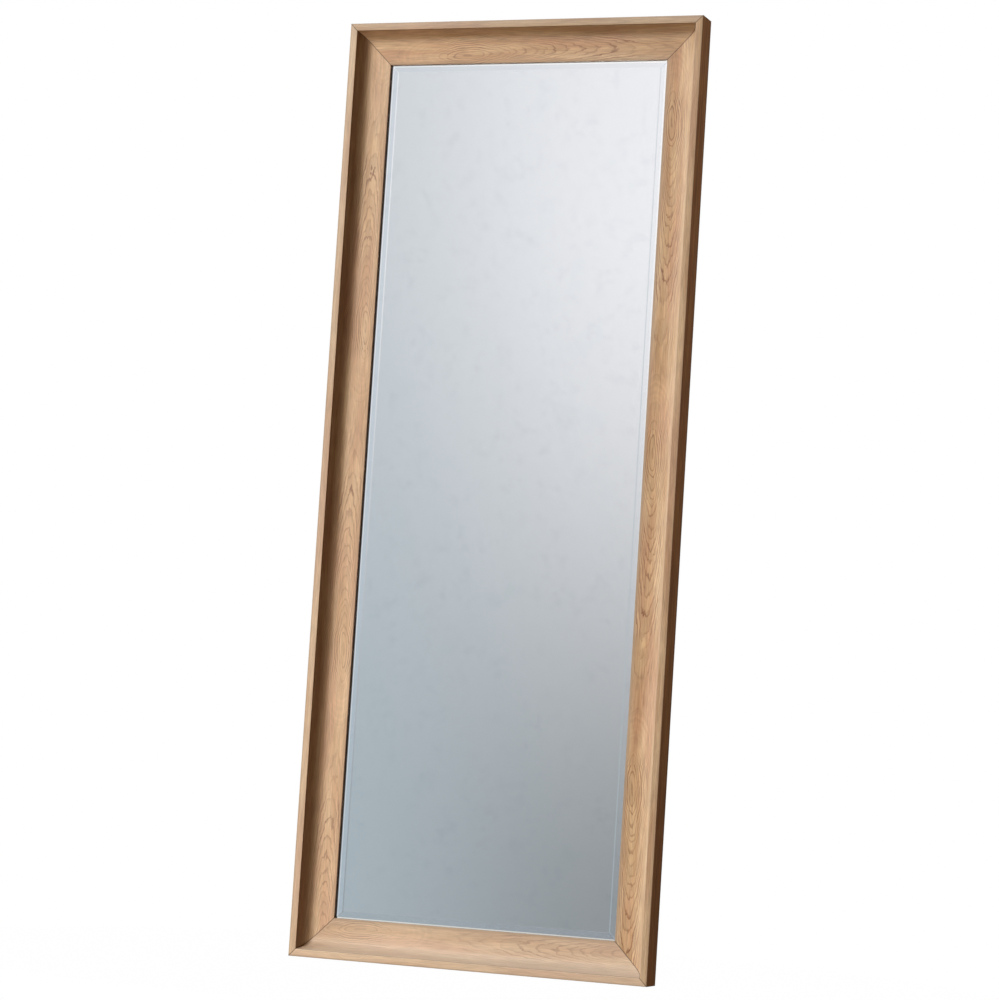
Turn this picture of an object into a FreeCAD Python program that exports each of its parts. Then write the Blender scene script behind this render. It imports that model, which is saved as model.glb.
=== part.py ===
import FreeCAD, Part

import math
import os

import Sketcher

# Full-length leaner mirror with a mitred cove frame, all lengths in millimetres.
# Row frame: X across, Y front to back (the face looks along -Y), Z up.
# The origin is the middle of the overall box on the floor.

SIZES = {
    # overall
    "mirror_height": 1560,
    "mirror_width": 620,
    # moulding section
    "moulding_width": 66,
    "moulding_depth": 44,
    "border_width": 12,
    "outer_arris": 1.2,
    "border_arris": 0.8,
    "sight_arris": 0.8,
    "cove_wall_run": 7.5,
    "cove_radius": 16,
    "cove_floor_fall": 0.9,
    "lip_thickness": 5,
    "rebate_width": 8,
    # glass and what lies behind it
    "glass_thickness": 4,
    "glass_edge_gap": 2,
    "glass_lip_gap": 0.1,
    "bevel_width": 18,
    "bevel_drop": 1.8,
    "silvering_thickness": 0.2,
    "card_thickness": 4,
    "board_thickness": 5,
    "board_edge_gap": 1,
    "setting_block_length": 50,
    # corner joints
    "nail_leg": 7,
    "nail_gauge": 0.6,
    "nail_depth": 12,
    "outer_nail_inset": 15,
    "inner_nail_edge": 6,
    "brace_leg": 80,
    "brace_width": 16,
    "brace_gauge": 1.5,
    "brace_corner_round": 3,
    "brace_first_hole": 30,
    "brace_end_to_hole": 12,
    # one pan head wood screw serves everywhere
    "screw_shank_radius": 1.75,
    "screw_length": 13,
    "screw_tip_length": 4,
    "screw_tip_radius": 0.3,
    "screw_head_radius": 3.3,
    "screw_head_height": 2,
    "screw_head_round": 1.2,
    "screw_recess_span": 3.6,
    "screw_recess_slot": 0.9,
    "screw_recess_depth": 1.2,
    "screw_hole_play": 0.25,
    "pilot_play": 0.05,
    "pilot_spare_depth": 0.5,
    # turn buttons
    "button_width": 12,
    "button_reach": 24,
    "button_gauge": 1.5,
    "button_play": 0.1,
    "button_edge_round": 0.4,
    "button_pivot_edge": 10,
    # strap hangers and their rings
    "strap_length": 42,
    "strap_width": 15,
    "strap_gauge": 1.5,
    "strap_end_round": 5,
    "strap_end_to_hole": 7,
    "strap_hole_pitch": 11,
    "strap_to_rebate": 3,
    "ring_wire_radius": 1.5,
    "ring_play": 0.25,
    "ring_side_play": 1.5,
    "ring_corner_bend": 3,
    "ring_leg": 4.5,
    # round rubber bumpers above, rubber feet below, all standing out as far from the back
    "bumper_radius": 8,
    "bumper_height": 8,
    "bumper_edge_round": 1.5,
    "bumper_gap": 16,
    "foot_length": 50,
    "foot_corner_round": 4,
    "foot_end_gap": 40,
    "foot_to_brace_gap": 3,
}

# places along a member, as shares of its length
STILE_BUTTON_SHARES = (0.15, 0.5, 0.85)
RAIL_BUTTON_SHARES = (0.3, 0.7)
UPRIGHT_HANGER_SHARE = 0.79
SIDEWAYS_HANGER_SHARES = (0.3, 0.7)
SETTING_BLOCK_SHARES = (-0.25, 0.25)

# the end corners of a turn button are rounded by this share of its half width
BUTTON_ROUND_SHARE = 0.9

# how far the eye of a strap is rolled round, in degrees
EYE_WRAP_ANGLE = 290

# turns about Y that lay an upright piece on its side or stand it on its head, in degrees
SIDEWAYS_ANGLE = 90
OVERTURNED_ANGLE = 180

# two places nearer than this count as one when edges are picked
SAME_PLACE = 0.001


class Size:
    """A number together with the sheet formula that it comes from."""

    def __init__(self, value, formula):
        self.value = float(value)
        self.formula = formula

    def __add__(self, other):
        other = as_size(other)
        return Size(self.value + other.value, f"({self.formula} + {other.formula})")

    def __sub__(self, other):
        other = as_size(other)
        return Size(self.value - other.value, f"({self.formula} - {other.formula})")

    def __mul__(self, other):
        other = as_size(other)
        return Size(self.value * other.value, f"({self.formula} * {other.formula})")

    def __truediv__(self, other):
        other = as_size(other)
        return Size(self.value / other.value, f"({self.formula} / {other.formula})")

    def __neg__(self):
        return Size(-self.value, f"(0 - {self.formula})")

    __radd__ = __add__
    __rmul__ = __mul__


def as_size(number):
    return number if isinstance(number, Size) else Size(number, f"({number})")


def make_sheet():
    sheet = doc.addObject("Spreadsheet::Sheet", "Sizes")
    for row, (alias, number) in enumerate(SIZES.items(), start=1):
        sheet.set(f"A{row}", alias.replace("_", " "))
        sheet.set(f"B{row}", str(number))
        sheet.setAlias(f"B{row}", alias)
    doc.recompute()


def size(alias):
    return Size(SIZES[alias], f"Sizes.{alias}")


def bind(obj, prop, value):
    """Ties a property of an object to a size."""
    obj.setExpression(prop, as_size(value).formula)


doc = FreeCAD.newDocument("Mirror")
make_sheet()

# sizes that several pieces share, worked out from the sheet
height = size("mirror_height")
width = size("mirror_width")
moulding_width = size("moulding_width")
moulding_depth = size("moulding_depth")
overall_depth = moulding_depth + size("bumper_height")
back_y = moulding_depth - overall_depth / 2
back_wood = moulding_width - size("rebate_width")
glass_gap = size("glass_edge_gap")
glass_cover = size("rebate_width") - glass_gap
bevel_seen_share = (size("bevel_width") - glass_cover) / size("bevel_width")
glass_lead = size("bevel_drop") * bevel_seen_share - size("glass_lip_gap")
glass_back = size("glass_thickness") - glass_lead
stack_depth = glass_back + size("silvering_thickness") + size("card_thickness") + size("board_thickness")
sight_depth = moulding_depth - size("lip_thickness") - stack_depth
glass_width = width - back_wood * 2 - glass_gap * 2
glass_height = height - back_wood * 2 - glass_gap * 2
shoulder_y = back_y - stack_depth
screw_radius = size("screw_shank_radius")
plate_hole_radius = screw_radius + size("screw_hole_play")
brace_inset = (back_wood - size("brace_width")) / 2
button_pivot = back_wood - size("button_pivot_edge")
eye_inner = size("ring_wire_radius") + size("ring_play")
eye_outer = eye_inner + size("strap_gauge")
sideways_axis = back_wood - size("strap_to_rebate") - size("strap_length")
bumper_along = brace_inset + size("brace_leg") + size("bumper_gap") + size("bumper_radius")

# Each member starts at one corner of the frame and is turned about Y there:
# name, corner, turn in degrees, corner across and up as shares, length.
SIDES = {
    "left_stile": ("bottom_left", 0, -0.5, 0, height),
    "bottom_rail": ("bottom_right", -SIDEWAYS_ANGLE, 0.5, 0, width),
    "right_stile": ("top_right", OVERTURNED_ANGLE, 0.5, 1, height),
    "top_rail": ("top_left", SIDEWAYS_ANGLE, -0.5, 1, width),
}


def corner_of(side):
    return SIDES[side][0]


def length_of(side):
    return SIDES[side][4]


def button_shares(side):
    return STILE_BUTTON_SHARES if side.endswith("stile") else RAIL_BUTTON_SHARES


def place(obj, side, inward, along, back=0, extra_turn=0):
    """Puts an object inward from a member's outer edge, along it from its corner and behind the frame."""
    _, turn, across_share, up_share, _ = SIDES[side]
    cosine = round(math.cos(math.radians(turn)))
    sine = round(math.sin(math.radians(turn)))
    spin = FreeCAD.Rotation(FreeCAD.Vector(0, 1, 0), turn + extra_turn)
    obj.Placement = FreeCAD.Placement(FreeCAD.Vector(0, 0, 0), spin)
    bind(obj, "Placement.Base.x", width * across_share + inward * cosine + along * sine)
    bind(obj, "Placement.Base.y", back_y + back)
    bind(obj, "Placement.Base.z", height * up_share - inward * sine + along * cosine)


def put(obj, x, y, z):
    bind(obj, "Placement.Base.x", x)
    bind(obj, "Placement.Base.y", y)
    bind(obj, "Placement.Base.z", z)


def new_body(name):
    return doc.addObject("PartDesign::Body", name)


def new_sketch(body, name, role):
    sketch = body.newObject("Sketcher::SketchObject", name)
    planes = [feature for feature in body.Origin.OriginFeatures if feature.Role == role]
    sketch.AttachmentSupport = [(planes[0], "")]
    sketch.MapMode = "FlatFace"
    return sketch


def hold(sketch, kind, *targets):
    """Adds a constraint whose last target is the size that drives it."""
    *places, driver = targets
    driver = as_size(driver)
    index = sketch.addConstraint(Sketcher.Constraint(kind, *places, driver.value))
    if driver.value or "Sizes" in driver.formula:
        sketch.setExpression(f"Constraints[{index}]", driver.formula)


def pin(sketch, geometry, point, u, v):
    """Holds one point of a piece of geometry at a place in the sketch."""
    hold(sketch, "DistanceX", -1, 1, geometry, point, u)
    hold(sketch, "DistanceY", -1, 1, geometry, point, v)


def corner_arc(before, corner, after, radius):
    """The two tangent points, the centre and the turn of an arc that rounds a corner."""
    to_before = (before - corner).normalize()
    to_after = (after - corner).normalize()
    half = to_before.getAngle(to_after) / 2
    start = corner + to_before * (radius / math.tan(half))
    end = corner + to_after * (radius / math.tan(half))
    centre = corner + (to_before + to_after).normalize() * (radius / math.sin(half))
    left_turn = to_before.cross(to_after).z < 0
    return start, end, centre, left_turn


def outline(sketch, corners):
    """Draws a closed outline through corners (u, v) or, where a corner is round, (u, v, radius)."""
    points = [FreeCAD.Vector(as_size(c[0]).value, as_size(c[1]).value, 0) for c in corners]
    count = len(corners)
    arcs = {}
    for i, corner in enumerate(corners):
        if len(corner) > 2:
            arcs[i] = corner_arc(points[i - 1], points[i], points[(i + 1) % count], corner[2].value)
    lines = []
    for i in range(count):
        after = (i + 1) % count
        start = arcs[i][1] if i in arcs else points[i]
        end = arcs[after][0] if after in arcs else points[after]
        lines.append(sketch.addGeometry(Part.LineSegment(start, end), False))
    for i, corner in enumerate(corners):
        incoming = lines[i - 1]
        outgoing = lines[i]
        if i not in arcs:
            sketch.addConstraint(Sketcher.Constraint("Coincident", incoming, 2, outgoing, 1))
            pin(sketch, outgoing, 1, corner[0], corner[1])
            continue
        start, end, centre, left_turn = arcs[i]
        ends = (start, end) if left_turn else (end, start)
        angles = [math.atan2(p.y - centre.y, p.x - centre.x) for p in ends]
        circle = Part.Circle(centre, FreeCAD.Vector(0, 0, 1), corner[2].value)
        arc = sketch.addGeometry(Part.ArcOfCircle(circle, *angles), False)
        sketch.addConstraint(Sketcher.Constraint("Tangent", incoming, 2, arc, 1 if left_turn else 2))
        sketch.addConstraint(Sketcher.Constraint("Tangent", outgoing, 1, arc, 2 if left_turn else 1))
        hold(sketch, "Radius", arc, corner[2])
        apex = sketch.addGeometry(Part.Point(points[i]), True)
        pin(sketch, apex, 1, corner[0], corner[1])
        sketch.addConstraint(Sketcher.Constraint("PointOnObject", apex, 1, incoming))
        sketch.addConstraint(Sketcher.Constraint("PointOnObject", apex, 1, outgoing))


def circle_at(sketch, u, v, radius):
    """Draws one full circle."""
    centre = FreeCAD.Vector(as_size(u).value, as_size(v).value, 0)
    circle = Part.Circle(centre, FreeCAD.Vector(0, 0, 1), radius.value)
    index = sketch.addGeometry(circle, False)
    pin(sketch, index, 3, u, v)
    hold(sketch, "Radius", index, radius)


def rectangle(u_low, v_low, u_high, v_high):
    return [(u_low, v_low), (u_high, v_low), (u_high, v_high), (u_low, v_high)]


def pad(body, name, sketch, length, reverse=False, both_ways=False):
    feature = body.newObject("PartDesign::Pad", name)
    feature.Profile = sketch
    feature.SideType = "Symmetric" if both_ways else "One side"
    feature.Reversed = reverse
    bind(feature, "Length", length)
    doc.recompute()
    return feature


def pocket(body, name, sketch, length=None, reverse=False):
    """Cuts a sketch out of a body, right through both ways where no length is given."""
    before = body.Shape.Volume
    feature = body.newObject("PartDesign::Pocket", name)
    feature.Profile = sketch
    feature.Reversed = reverse
    if length is None:
        feature.Type = "ThroughAll"
        feature.SideType = "Symmetric"
    else:
        feature.Type = "Length"
        bind(feature, "Length", length)
    doc.recompute()
    if body.Shape.Volume >= before:
        raise RuntimeError(f"{body.Label}: {name} cuts nothing")
    return feature


def round_edges(body, name, radius, chosen):
    """Fillets the edges of the newest feature for which chosen(edge) is true."""
    tip = body.Tip
    names = [f"Edge{i}" for i, edge in enumerate(tip.Shape.Edges, start=1) if chosen(edge)]
    feature = body.newObject("PartDesign::Fillet", name)
    feature.Base = (tip, names)
    bind(feature, "Radius", radius)
    doc.recompute()
    return feature


def runs_along(edge, direction):
    """True for a straight edge along a direction."""
    if edge.Curve.TypeId != "Part::GeomLine":
        return False
    return abs(edge.Curve.Direction.dot(direction)) > math.cos(math.radians(1))


def lies_at(edge, direction, level):
    """True where the whole edge lies at a level along a direction."""
    spots = [edge.valueAt(edge.FirstParameter), edge.valueAt(edge.LastParameter), edge.CenterOfMass]
    return all(abs(spot.dot(direction) - level) < SAME_PLACE for spot in spots)


ALONG_Y = FreeCAD.Vector(0, 1, 0)
ALONG_Z = FreeCAD.Vector(0, 0, 1)
parts = []


def keep(obj):
    parts.append(obj)
    return obj


# Frame members


def moulding_section():
    """Corners of the section: inward from the outer edge, and back to front as 0 to minus the depth."""
    front = -moulding_depth
    border = size("border_width")
    floor_depth = sight_depth - size("cove_floor_fall")
    lip_back = front + sight_depth + size("lip_thickness")
    return [
        (0, 0),
        (0, front, size("outer_arris")),
        (border, front, size("border_arris")),
        (border + size("cove_wall_run"), front + floor_depth, size("cove_radius")),
        (moulding_width, front + sight_depth, size("sight_arris")),
        (moulding_width, lip_back),
        (back_wood, lip_back),
        (back_wood, 0),
    ]


def nail_insets():
    """Where the knees of the two V nails of a corner stand, in from both outer edges."""
    return [size("outer_nail_inset"), back_wood - size("inner_nail_edge")]


def brace_hole_distances():
    """Where the two screws of a brace leg stand, from the brace's outer corner."""
    return [size("brace_first_hole"), size("brace_leg") - size("brace_end_to_hole")]


def strap_hole_distances():
    """Where the two screws of a strap stand, from the axis of its eye."""
    far = size("strap_length") - size("strap_end_to_hole")
    return [far - size("strap_hole_pitch"), far]


# strap hangers: the member, the eye's place inward and along, and the way the strap runs from the eye
HANGERS = {
    "upright_left": ("left_stile", back_wood / 2, height * UPRIGHT_HANGER_SHARE, (0, -1)),
    "upright_right": ("right_stile", back_wood / 2, height * (1 - UPRIGHT_HANGER_SHARE), (0, 1)),
    "sideways_lower": ("left_stile", sideways_axis, height * SIDEWAYS_HANGER_SHARES[0], (1, 0)),
    "sideways_upper": ("left_stile", sideways_axis, height * SIDEWAYS_HANGER_SHARES[1], (1, 0)),
}
STRAP_TURNS = {(0, -1): 0, (0, 1): OVERTURNED_ANGLE, (1, 0): -SIDEWAYS_ANGLE}


def brace_screw_places(side):
    """Screws of the two braces that reach this member, as places inward and along."""
    inward = brace_inset + size("brace_width") / 2
    near = [brace_inset + distance for distance in brace_hole_distances()]
    far = [length_of(side) - along for along in near]
    return [(inward, along) for along in near + far]


def button_places(side):
    return [(button_pivot, length_of(side) * share) for share in button_shares(side)]


def strap_screw_places(side):
    places = []
    for member, inward, along, (step_in, step_along) in HANGERS.values():
        for distance in strap_hole_distances():
            if member == side:
                places.append((inward + distance * step_in, along + distance * step_along))
    return places


def cut_mitres(body, length):
    sketch = new_sketch(body, body.Label + "_mitre_cuts", "XZ_Plane")
    reach = moulding_width + moulding_depth
    outline(sketch, [(-reach, -reach), (reach, -reach), (reach, reach)])
    outline(sketch, [(-reach, length + reach), (reach, length - reach), (reach, length + reach)])
    pocket(body, body.Label + "_mitres", sketch)


def cut_nail_slots(body, length):
    sketch = new_sketch(body, body.Label + "_nail_slots", "XZ_Plane")
    half = size("nail_gauge") / 2
    for knee in nail_insets():
        for along in (knee, length - knee):
            low = knee - size("nail_leg")
            outline(sketch, rectangle(low, along - half, knee + half, along + half))
    pocket(body, body.Label + "_nail_slot_cuts", sketch, size("nail_depth"), reverse=True)


def cut_pilot_holes(body, side):
    sketch = new_sketch(body, body.Label + "_pilot_places", "XZ_Plane")
    for inward, along in brace_screw_places(side) + button_places(side) + strap_screw_places(side):
        circle_at(sketch, inward, along, screw_radius + size("pilot_play"))
    depth = size("screw_length") + size("pilot_spare_depth")
    pocket(body, body.Label + "_pilot_holes", sketch, depth, reverse=True)


def make_member(side):
    body = keep(new_body(side))
    sketch = new_sketch(body, side + "_section", "XY_Plane")
    outline(sketch, moulding_section())
    pad(body, side + "_run", sketch, length_of(side))
    cut_mitres(body, length_of(side))
    cut_nail_slots(body, length_of(side))
    cut_pilot_holes(body, side)
    place(body, side, 0, 0)


# Glass and backing


def make_glass():
    rim = doc.addObject("Part::Box", "glass_rim")
    bind(rim, "Length", glass_width)
    bind(rim, "Width", size("glass_thickness") - size("bevel_drop"))
    bind(rim, "Height", glass_height)
    bind(rim, "Placement.Base.y", size("bevel_drop"))
    face = doc.addObject("Part::Wedge", "glass_bevels")
    low_high = {
        "Xmin": size("bevel_width"),
        "Xmax": glass_width - size("bevel_width"),
        "Zmin": size("bevel_width"),
        "Zmax": glass_height - size("bevel_width"),
        "X2min": 0,
        "X2max": glass_width,
        "Z2min": 0,
        "Z2max": glass_height,
        "Ymin": 0,
        "Ymax": size("bevel_drop"),
    }
    for prop, value in low_high.items():
        bind(face, prop, value)
    glass = keep(doc.addObject("Part::Fuse", "mirror_glass"))
    glass.Base = rim
    glass.Tool = face
    put(glass, -glass_width / 2, shoulder_y - glass_lead, back_wood + glass_gap)


def make_sheet_piece(name, edge_gap, front, thickness):
    """A flat sheet in the rebate, with the same gap on all four sides."""
    sheet = keep(doc.addObject("Part::Box", name))
    bind(sheet, "Length", width - (back_wood + edge_gap) * 2)
    bind(sheet, "Width", thickness)
    bind(sheet, "Height", height - (back_wood + edge_gap) * 2)
    put(sheet, back_wood + edge_gap - width / 2, front, back_wood + edge_gap)


def make_backing():
    silvering_y = shoulder_y + glass_back
    card_y = silvering_y + size("silvering_thickness")
    board_y = card_y + size("card_thickness")
    make_sheet_piece("mirror_silvering", glass_gap, silvering_y, size("silvering_thickness"))
    make_sheet_piece("packing_card", glass_gap, card_y, size("card_thickness"))
    make_sheet_piece("back_board", size("board_edge_gap"), board_y, size("board_thickness"))


def make_setting_blocks():
    block = doc.addObject("Part::Box", "setting_block")
    bind(block, "Length", size("setting_block_length"))
    bind(block, "Width", glass_back)
    bind(block, "Height", glass_gap)
    links = []
    for number, share in enumerate(SETTING_BLOCK_SHARES, start=1):
        link = link_to(block, f"setting_block_{number}")
        middle = glass_width * share
        put(link, middle - size("setting_block_length") / 2, shoulder_y, back_wood)
        links.append(link)
    group("glass_setting_blocks", links)


# Fasteners


def link_to(source, name):
    link = doc.addObject("App::Link", name)
    link.LinkedObject = source
    return link


def group(name, members):
    compound = keep(doc.addObject("Part::Compound", name))
    compound.Links = members


def make_screw():
    """Pan head wood screw along Y: its seat at y 0, its head towards +Y and its shank towards -Y."""
    body = new_body("pan_head_screw")
    seat = 0
    tip = -size("screw_length")
    shank_end = tip + size("screw_tip_length")
    head_top = size("screw_head_height")
    sketch = new_sketch(body, "screw_half_section", "XY_Plane")
    outline(
        sketch,
        [
            (0, tip),
            (size("screw_tip_radius"), tip),
            (screw_radius, shank_end),
            (screw_radius, seat),
            (size("screw_head_radius"), seat),
            (size("screw_head_radius"), head_top, size("screw_head_round")),
            (0, head_top),
        ],
    )
    turned = body.newObject("PartDesign::Revolution", "screw_turned")
    turned.Profile = sketch
    turned.ReferenceAxis = (sketch, ["V_Axis"])
    doc.recompute()
    recess = new_sketch(body, "screw_recess_cross", "XZ_Plane")
    recess.AttachmentOffset = FreeCAD.Placement(FreeCAD.Vector(0, 0, 0), FreeCAD.Rotation())
    bind(recess, "AttachmentOffset.Base.z", -head_top)
    long_half = size("screw_recess_span") / 2
    slot_half = size("screw_recess_slot") / 2
    outline(
        recess,
        [
            (-long_half, -slot_half),
            (-slot_half, -slot_half),
            (-slot_half, -long_half),
            (slot_half, -long_half),
            (slot_half, -slot_half),
            (long_half, -slot_half),
            (long_half, slot_half),
            (slot_half, slot_half),
            (slot_half, long_half),
            (-slot_half, long_half),
            (-slot_half, slot_half),
            (-long_half, slot_half),
        ],
    )
    pocket(body, "screw_recess", recess, size("screw_recess_depth"), reverse=True)
    return body


def make_screw_group(name, screw, places, seat):
    """Screws at places (side, inward, along), each head seated at a height above the back."""
    links = []
    for number, (side, inward, along) in enumerate(places, start=1):
        link = link_to(screw, f"{name}_{number}")
        place(link, side, inward, along, seat)
        links.append(link)
    group(name, links)


def make_screws():
    screw = make_screw()
    braces = []
    buttons = []
    straps = []
    for side in SIDES:
        braces += [(side, *spot) for spot in brace_screw_places(side)]
        buttons += [(side, *spot) for spot in button_places(side)]
        straps += [(side, *spot) for spot in strap_screw_places(side)]
    make_screw_group("corner_brace_screws", screw, braces, size("brace_gauge"))
    button_seat = size("button_gauge") + size("button_play") * 2
    make_screw_group("turn_button_screws", screw, buttons, button_seat)
    make_screw_group("hanger_screws", screw, straps, size("strap_gauge"))


def make_nails():
    """V nails: two thin legs at a right angle, driven across each mitre from the back."""
    nail = new_body("mitre_nail")
    half = size("nail_gauge") / 2
    leg = size("nail_leg")
    sketch = new_sketch(nail, "nail_section", "XZ_Plane")
    outer_leg = [(-leg, half), (-leg, -half), (-half, -half)]
    outline(sketch, outer_leg + [(-half, -leg), (half, -leg), (half, half)])
    pad(nail, "nail_strip", sketch, size("nail_depth"))
    for side in SIDES:
        links = []
        for number, knee in enumerate(nail_insets(), start=1):
            link = link_to(nail, f"nail_{corner_of(side)}_{number}")
            place(link, side, knee, knee)
            links.append(link)
        group(f"mitre_nails_{corner_of(side)}", links)


def make_brace(side):
    body = keep(new_body(f"corner_brace_{corner_of(side)}"))
    leg = size("brace_leg")
    broad = size("brace_width")
    rounding = size("brace_corner_round")
    sketch = new_sketch(body, body.Label + "_outline", "XZ_Plane")
    outline(
        sketch,
        [
            (0, 0, rounding),
            (leg, 0, rounding),
            (leg, broad, rounding),
            (broad, broad, rounding),
            (broad, leg, rounding),
            (0, leg, rounding),
        ],
    )
    for distance in brace_hole_distances():
        circle_at(sketch, broad / 2, distance, plate_hole_radius)
        circle_at(sketch, distance, broad / 2, plate_hole_radius)
    pad(body, body.Label + "_plate", sketch, size("brace_gauge"), reverse=True)
    place(body, side, brace_inset, brace_inset)


# Turn buttons


def make_button(side, number, inward, along):
    """A flat button that turns on its screw and laps over the back board."""
    body = keep(new_body(f"turn_button_{side.split('_')[0]}_{number}"))
    half = size("button_width") / 2
    sketch = new_sketch(body, body.Label + "_outline", "XZ_Plane")
    reach = size("button_reach")
    end = half * BUTTON_ROUND_SHARE
    corners = [(-half, -half, end), (reach, -half, end), (reach, half, end), (-half, half, end)]
    outline(sketch, corners)
    circle_at(sketch, 0, 0, screw_radius + size("button_play"))
    pad(body, body.Label + "_plate", sketch, size("button_gauge"), reverse=True)
    top = size("button_gauge").value
    round_edges(
        body,
        body.Label + "_edges",
        size("button_edge_round"),
        lambda edge: lies_at(edge, ALONG_Y, top),
    )
    place(body, side, inward, along, size("button_play"))


# Strap hangers and D-rings


def make_strap(name, side, inward, along, direction):
    """A strap whose end is rolled into an eye, with the eye's axis along X over the back of the frame."""
    body = keep(new_body(f"hanger_strap_{name}"))
    gauge = size("strap_gauge")
    length = size("strap_length")
    sketch = new_sketch(body, body.Label + "_side", "YZ_Plane")
    draw_rolled_strap(sketch, gauge, length)
    pad(body, body.Label + "_rolled", sketch, size("strap_width"), both_ways=True)
    holes = new_sketch(body, body.Label + "_hole_places", "XZ_Plane")
    for distance in strap_hole_distances():
        circle_at(holes, 0, -distance, plate_hole_radius)
    pocket(body, body.Label + "_holes", holes)
    low_end = -length.value
    round_edges(
        body,
        body.Label + "_end",
        size("strap_end_round"),
        lambda edge: runs_along(edge, ALONG_Y) and lies_at(edge, ALONG_Z, low_end),
    )
    place(body, side, inward, along, 0, STRAP_TURNS[direction])


def draw_rolled_strap(sketch, gauge, length):
    """The strap's side view: flat back, outer roll, open end of the roll, inner roll, flat front."""
    centre = FreeCAD.Vector(eye_outer.value, 0, 0)
    up = FreeCAD.Vector(0, 0, 1)
    stop = math.radians(180 - EYE_WRAP_ANGLE)
    out = FreeCAD.Vector(math.cos(stop), math.sin(stop), 0)
    back_end = FreeCAD.Vector(0, -length.value, 0)
    front_end = FreeCAD.Vector(gauge.value, -length.value, 0)
    front_top = FreeCAD.Vector(gauge.value, 0, 0)
    outer_circle = Part.Circle(centre, up, eye_outer.value)
    inner_circle = Part.Circle(centre, up, eye_inner.value)
    back = sketch.addGeometry(Part.LineSegment(back_end, FreeCAD.Vector(0, 0, 0)), False)
    outer = sketch.addGeometry(Part.ArcOfCircle(outer_circle, stop, math.pi), False)
    mouth = sketch.addGeometry(
        Part.LineSegment(centre + out * eye_outer.value, centre + out * eye_inner.value), False
    )
    inner = sketch.addGeometry(Part.ArcOfCircle(inner_circle, stop, math.pi), False)
    front = sketch.addGeometry(Part.LineSegment(front_top, front_end), False)
    foot = sketch.addGeometry(Part.LineSegment(front_end, back_end), False)
    for one, one_point, other, other_point in (
        (back, 2, outer, 2),
        (outer, 1, mouth, 1),
        (mouth, 2, inner, 1),
        (inner, 2, front, 1),
        (front, 2, foot, 1),
        (foot, 2, back, 1),
    ):
        sketch.addConstraint(Sketcher.Constraint("Coincident", one, one_point, other, other_point))
    pin(sketch, back, 1, 0, -length)
    pin(sketch, back, 2, 0, 0)
    pin(sketch, front, 1, gauge, 0)
    pin(sketch, front, 2, gauge, -length)
    pin(sketch, outer, 3, eye_outer, 0)
    pin(sketch, inner, 3, eye_outer, 0)
    sketch.addConstraint(Sketcher.Constraint("PointOnObject", outer, 3, mouth))
    sketch.addConstraint(Sketcher.Constraint("Angle", mouth, stop + math.pi))


def make_ring(name, side, inward, along, direction):
    """A D-shaped ring of round wire: its straight bar turns in the eye and its bow hangs over the strap."""
    body = keep(new_body(f"d_ring_{name}"))
    wire = size("ring_wire_radius")
    bend = size("ring_corner_bend")
    half = size("strap_width") / 2 + size("ring_side_play") + wire
    shoulder = bend + size("ring_leg")
    path = new_sketch(body, body.Label + "_path", "XZ_Plane")
    draw_d(path, half, bend, shoulder)
    section = new_sketch(body, body.Label + "_wire", "YZ_Plane")
    circle_at(section, 0, 0, wire)
    doc.recompute()
    loop = body.newObject("PartDesign::AdditivePipe", body.Label + "_loop")
    loop.Profile = section
    loop.Spine = (path, [])
    doc.recompute()
    place(body, side, inward, along, eye_outer, STRAP_TURNS[direction])


def draw_d(sketch, half, bend, shoulder):
    """A closed D: a bar along the top with two tight corners, short legs and a half-round bow."""
    up = FreeCAD.Vector(0, 0, 1)
    bar_end = (half - bend).value
    bend_r = bend.value
    low = -shoulder.value
    wide = half.value
    bar = sketch.addGeometry(
        Part.LineSegment(FreeCAD.Vector(-bar_end, 0, 0), FreeCAD.Vector(bar_end, 0, 0)), False
    )
    right_circle = Part.Circle(FreeCAD.Vector(bar_end, -bend_r, 0), up, bend_r)
    right_bend = sketch.addGeometry(Part.ArcOfCircle(right_circle, 0, math.pi / 2), False)
    right_leg = sketch.addGeometry(
        Part.LineSegment(FreeCAD.Vector(wide, -bend_r, 0), FreeCAD.Vector(wide, low, 0)), False
    )
    bow_circle = Part.Circle(FreeCAD.Vector(0, low, 0), up, wide)
    bow = sketch.addGeometry(Part.ArcOfCircle(bow_circle, math.pi, 2 * math.pi), False)
    left_leg = sketch.addGeometry(
        Part.LineSegment(FreeCAD.Vector(-wide, low, 0), FreeCAD.Vector(-wide, -bend_r, 0)), False
    )
    left_circle = Part.Circle(FreeCAD.Vector(-bar_end, -bend_r, 0), up, bend_r)
    left_bend = sketch.addGeometry(Part.ArcOfCircle(left_circle, math.pi / 2, math.pi), False)
    for one, one_point, other, other_point in (
        (bar, 2, right_bend, 2),
        (right_bend, 1, right_leg, 1),
        (right_leg, 2, bow, 2),
        (bow, 1, left_leg, 1),
        (left_leg, 2, left_bend, 2),
        (left_bend, 1, bar, 1),
    ):
        sketch.addConstraint(Sketcher.Constraint("Tangent", one, one_point, other, other_point))
    pin(sketch, bar, 1, bend - half, 0)
    pin(sketch, bar, 2, half - bend, 0)
    hold(sketch, "Radius", right_bend, bend)
    hold(sketch, "Radius", left_bend, bend)
    pin(sketch, bow, 3, 0, -shoulder)


# Rubber bumpers and feet

# bumpers: the stile that each one is stuck to and its place along it
BUMPERS = {
    "left": ("left_stile", height - bumper_along),
    "right": ("right_stile", bumper_along),
}

# feet: where each one starts along the bottom rail, which runs from the right corner to the left
FEET = {
    "right": size("foot_end_gap"),
    "left": width - size("foot_end_gap") - size("foot_length"),
}


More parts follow.
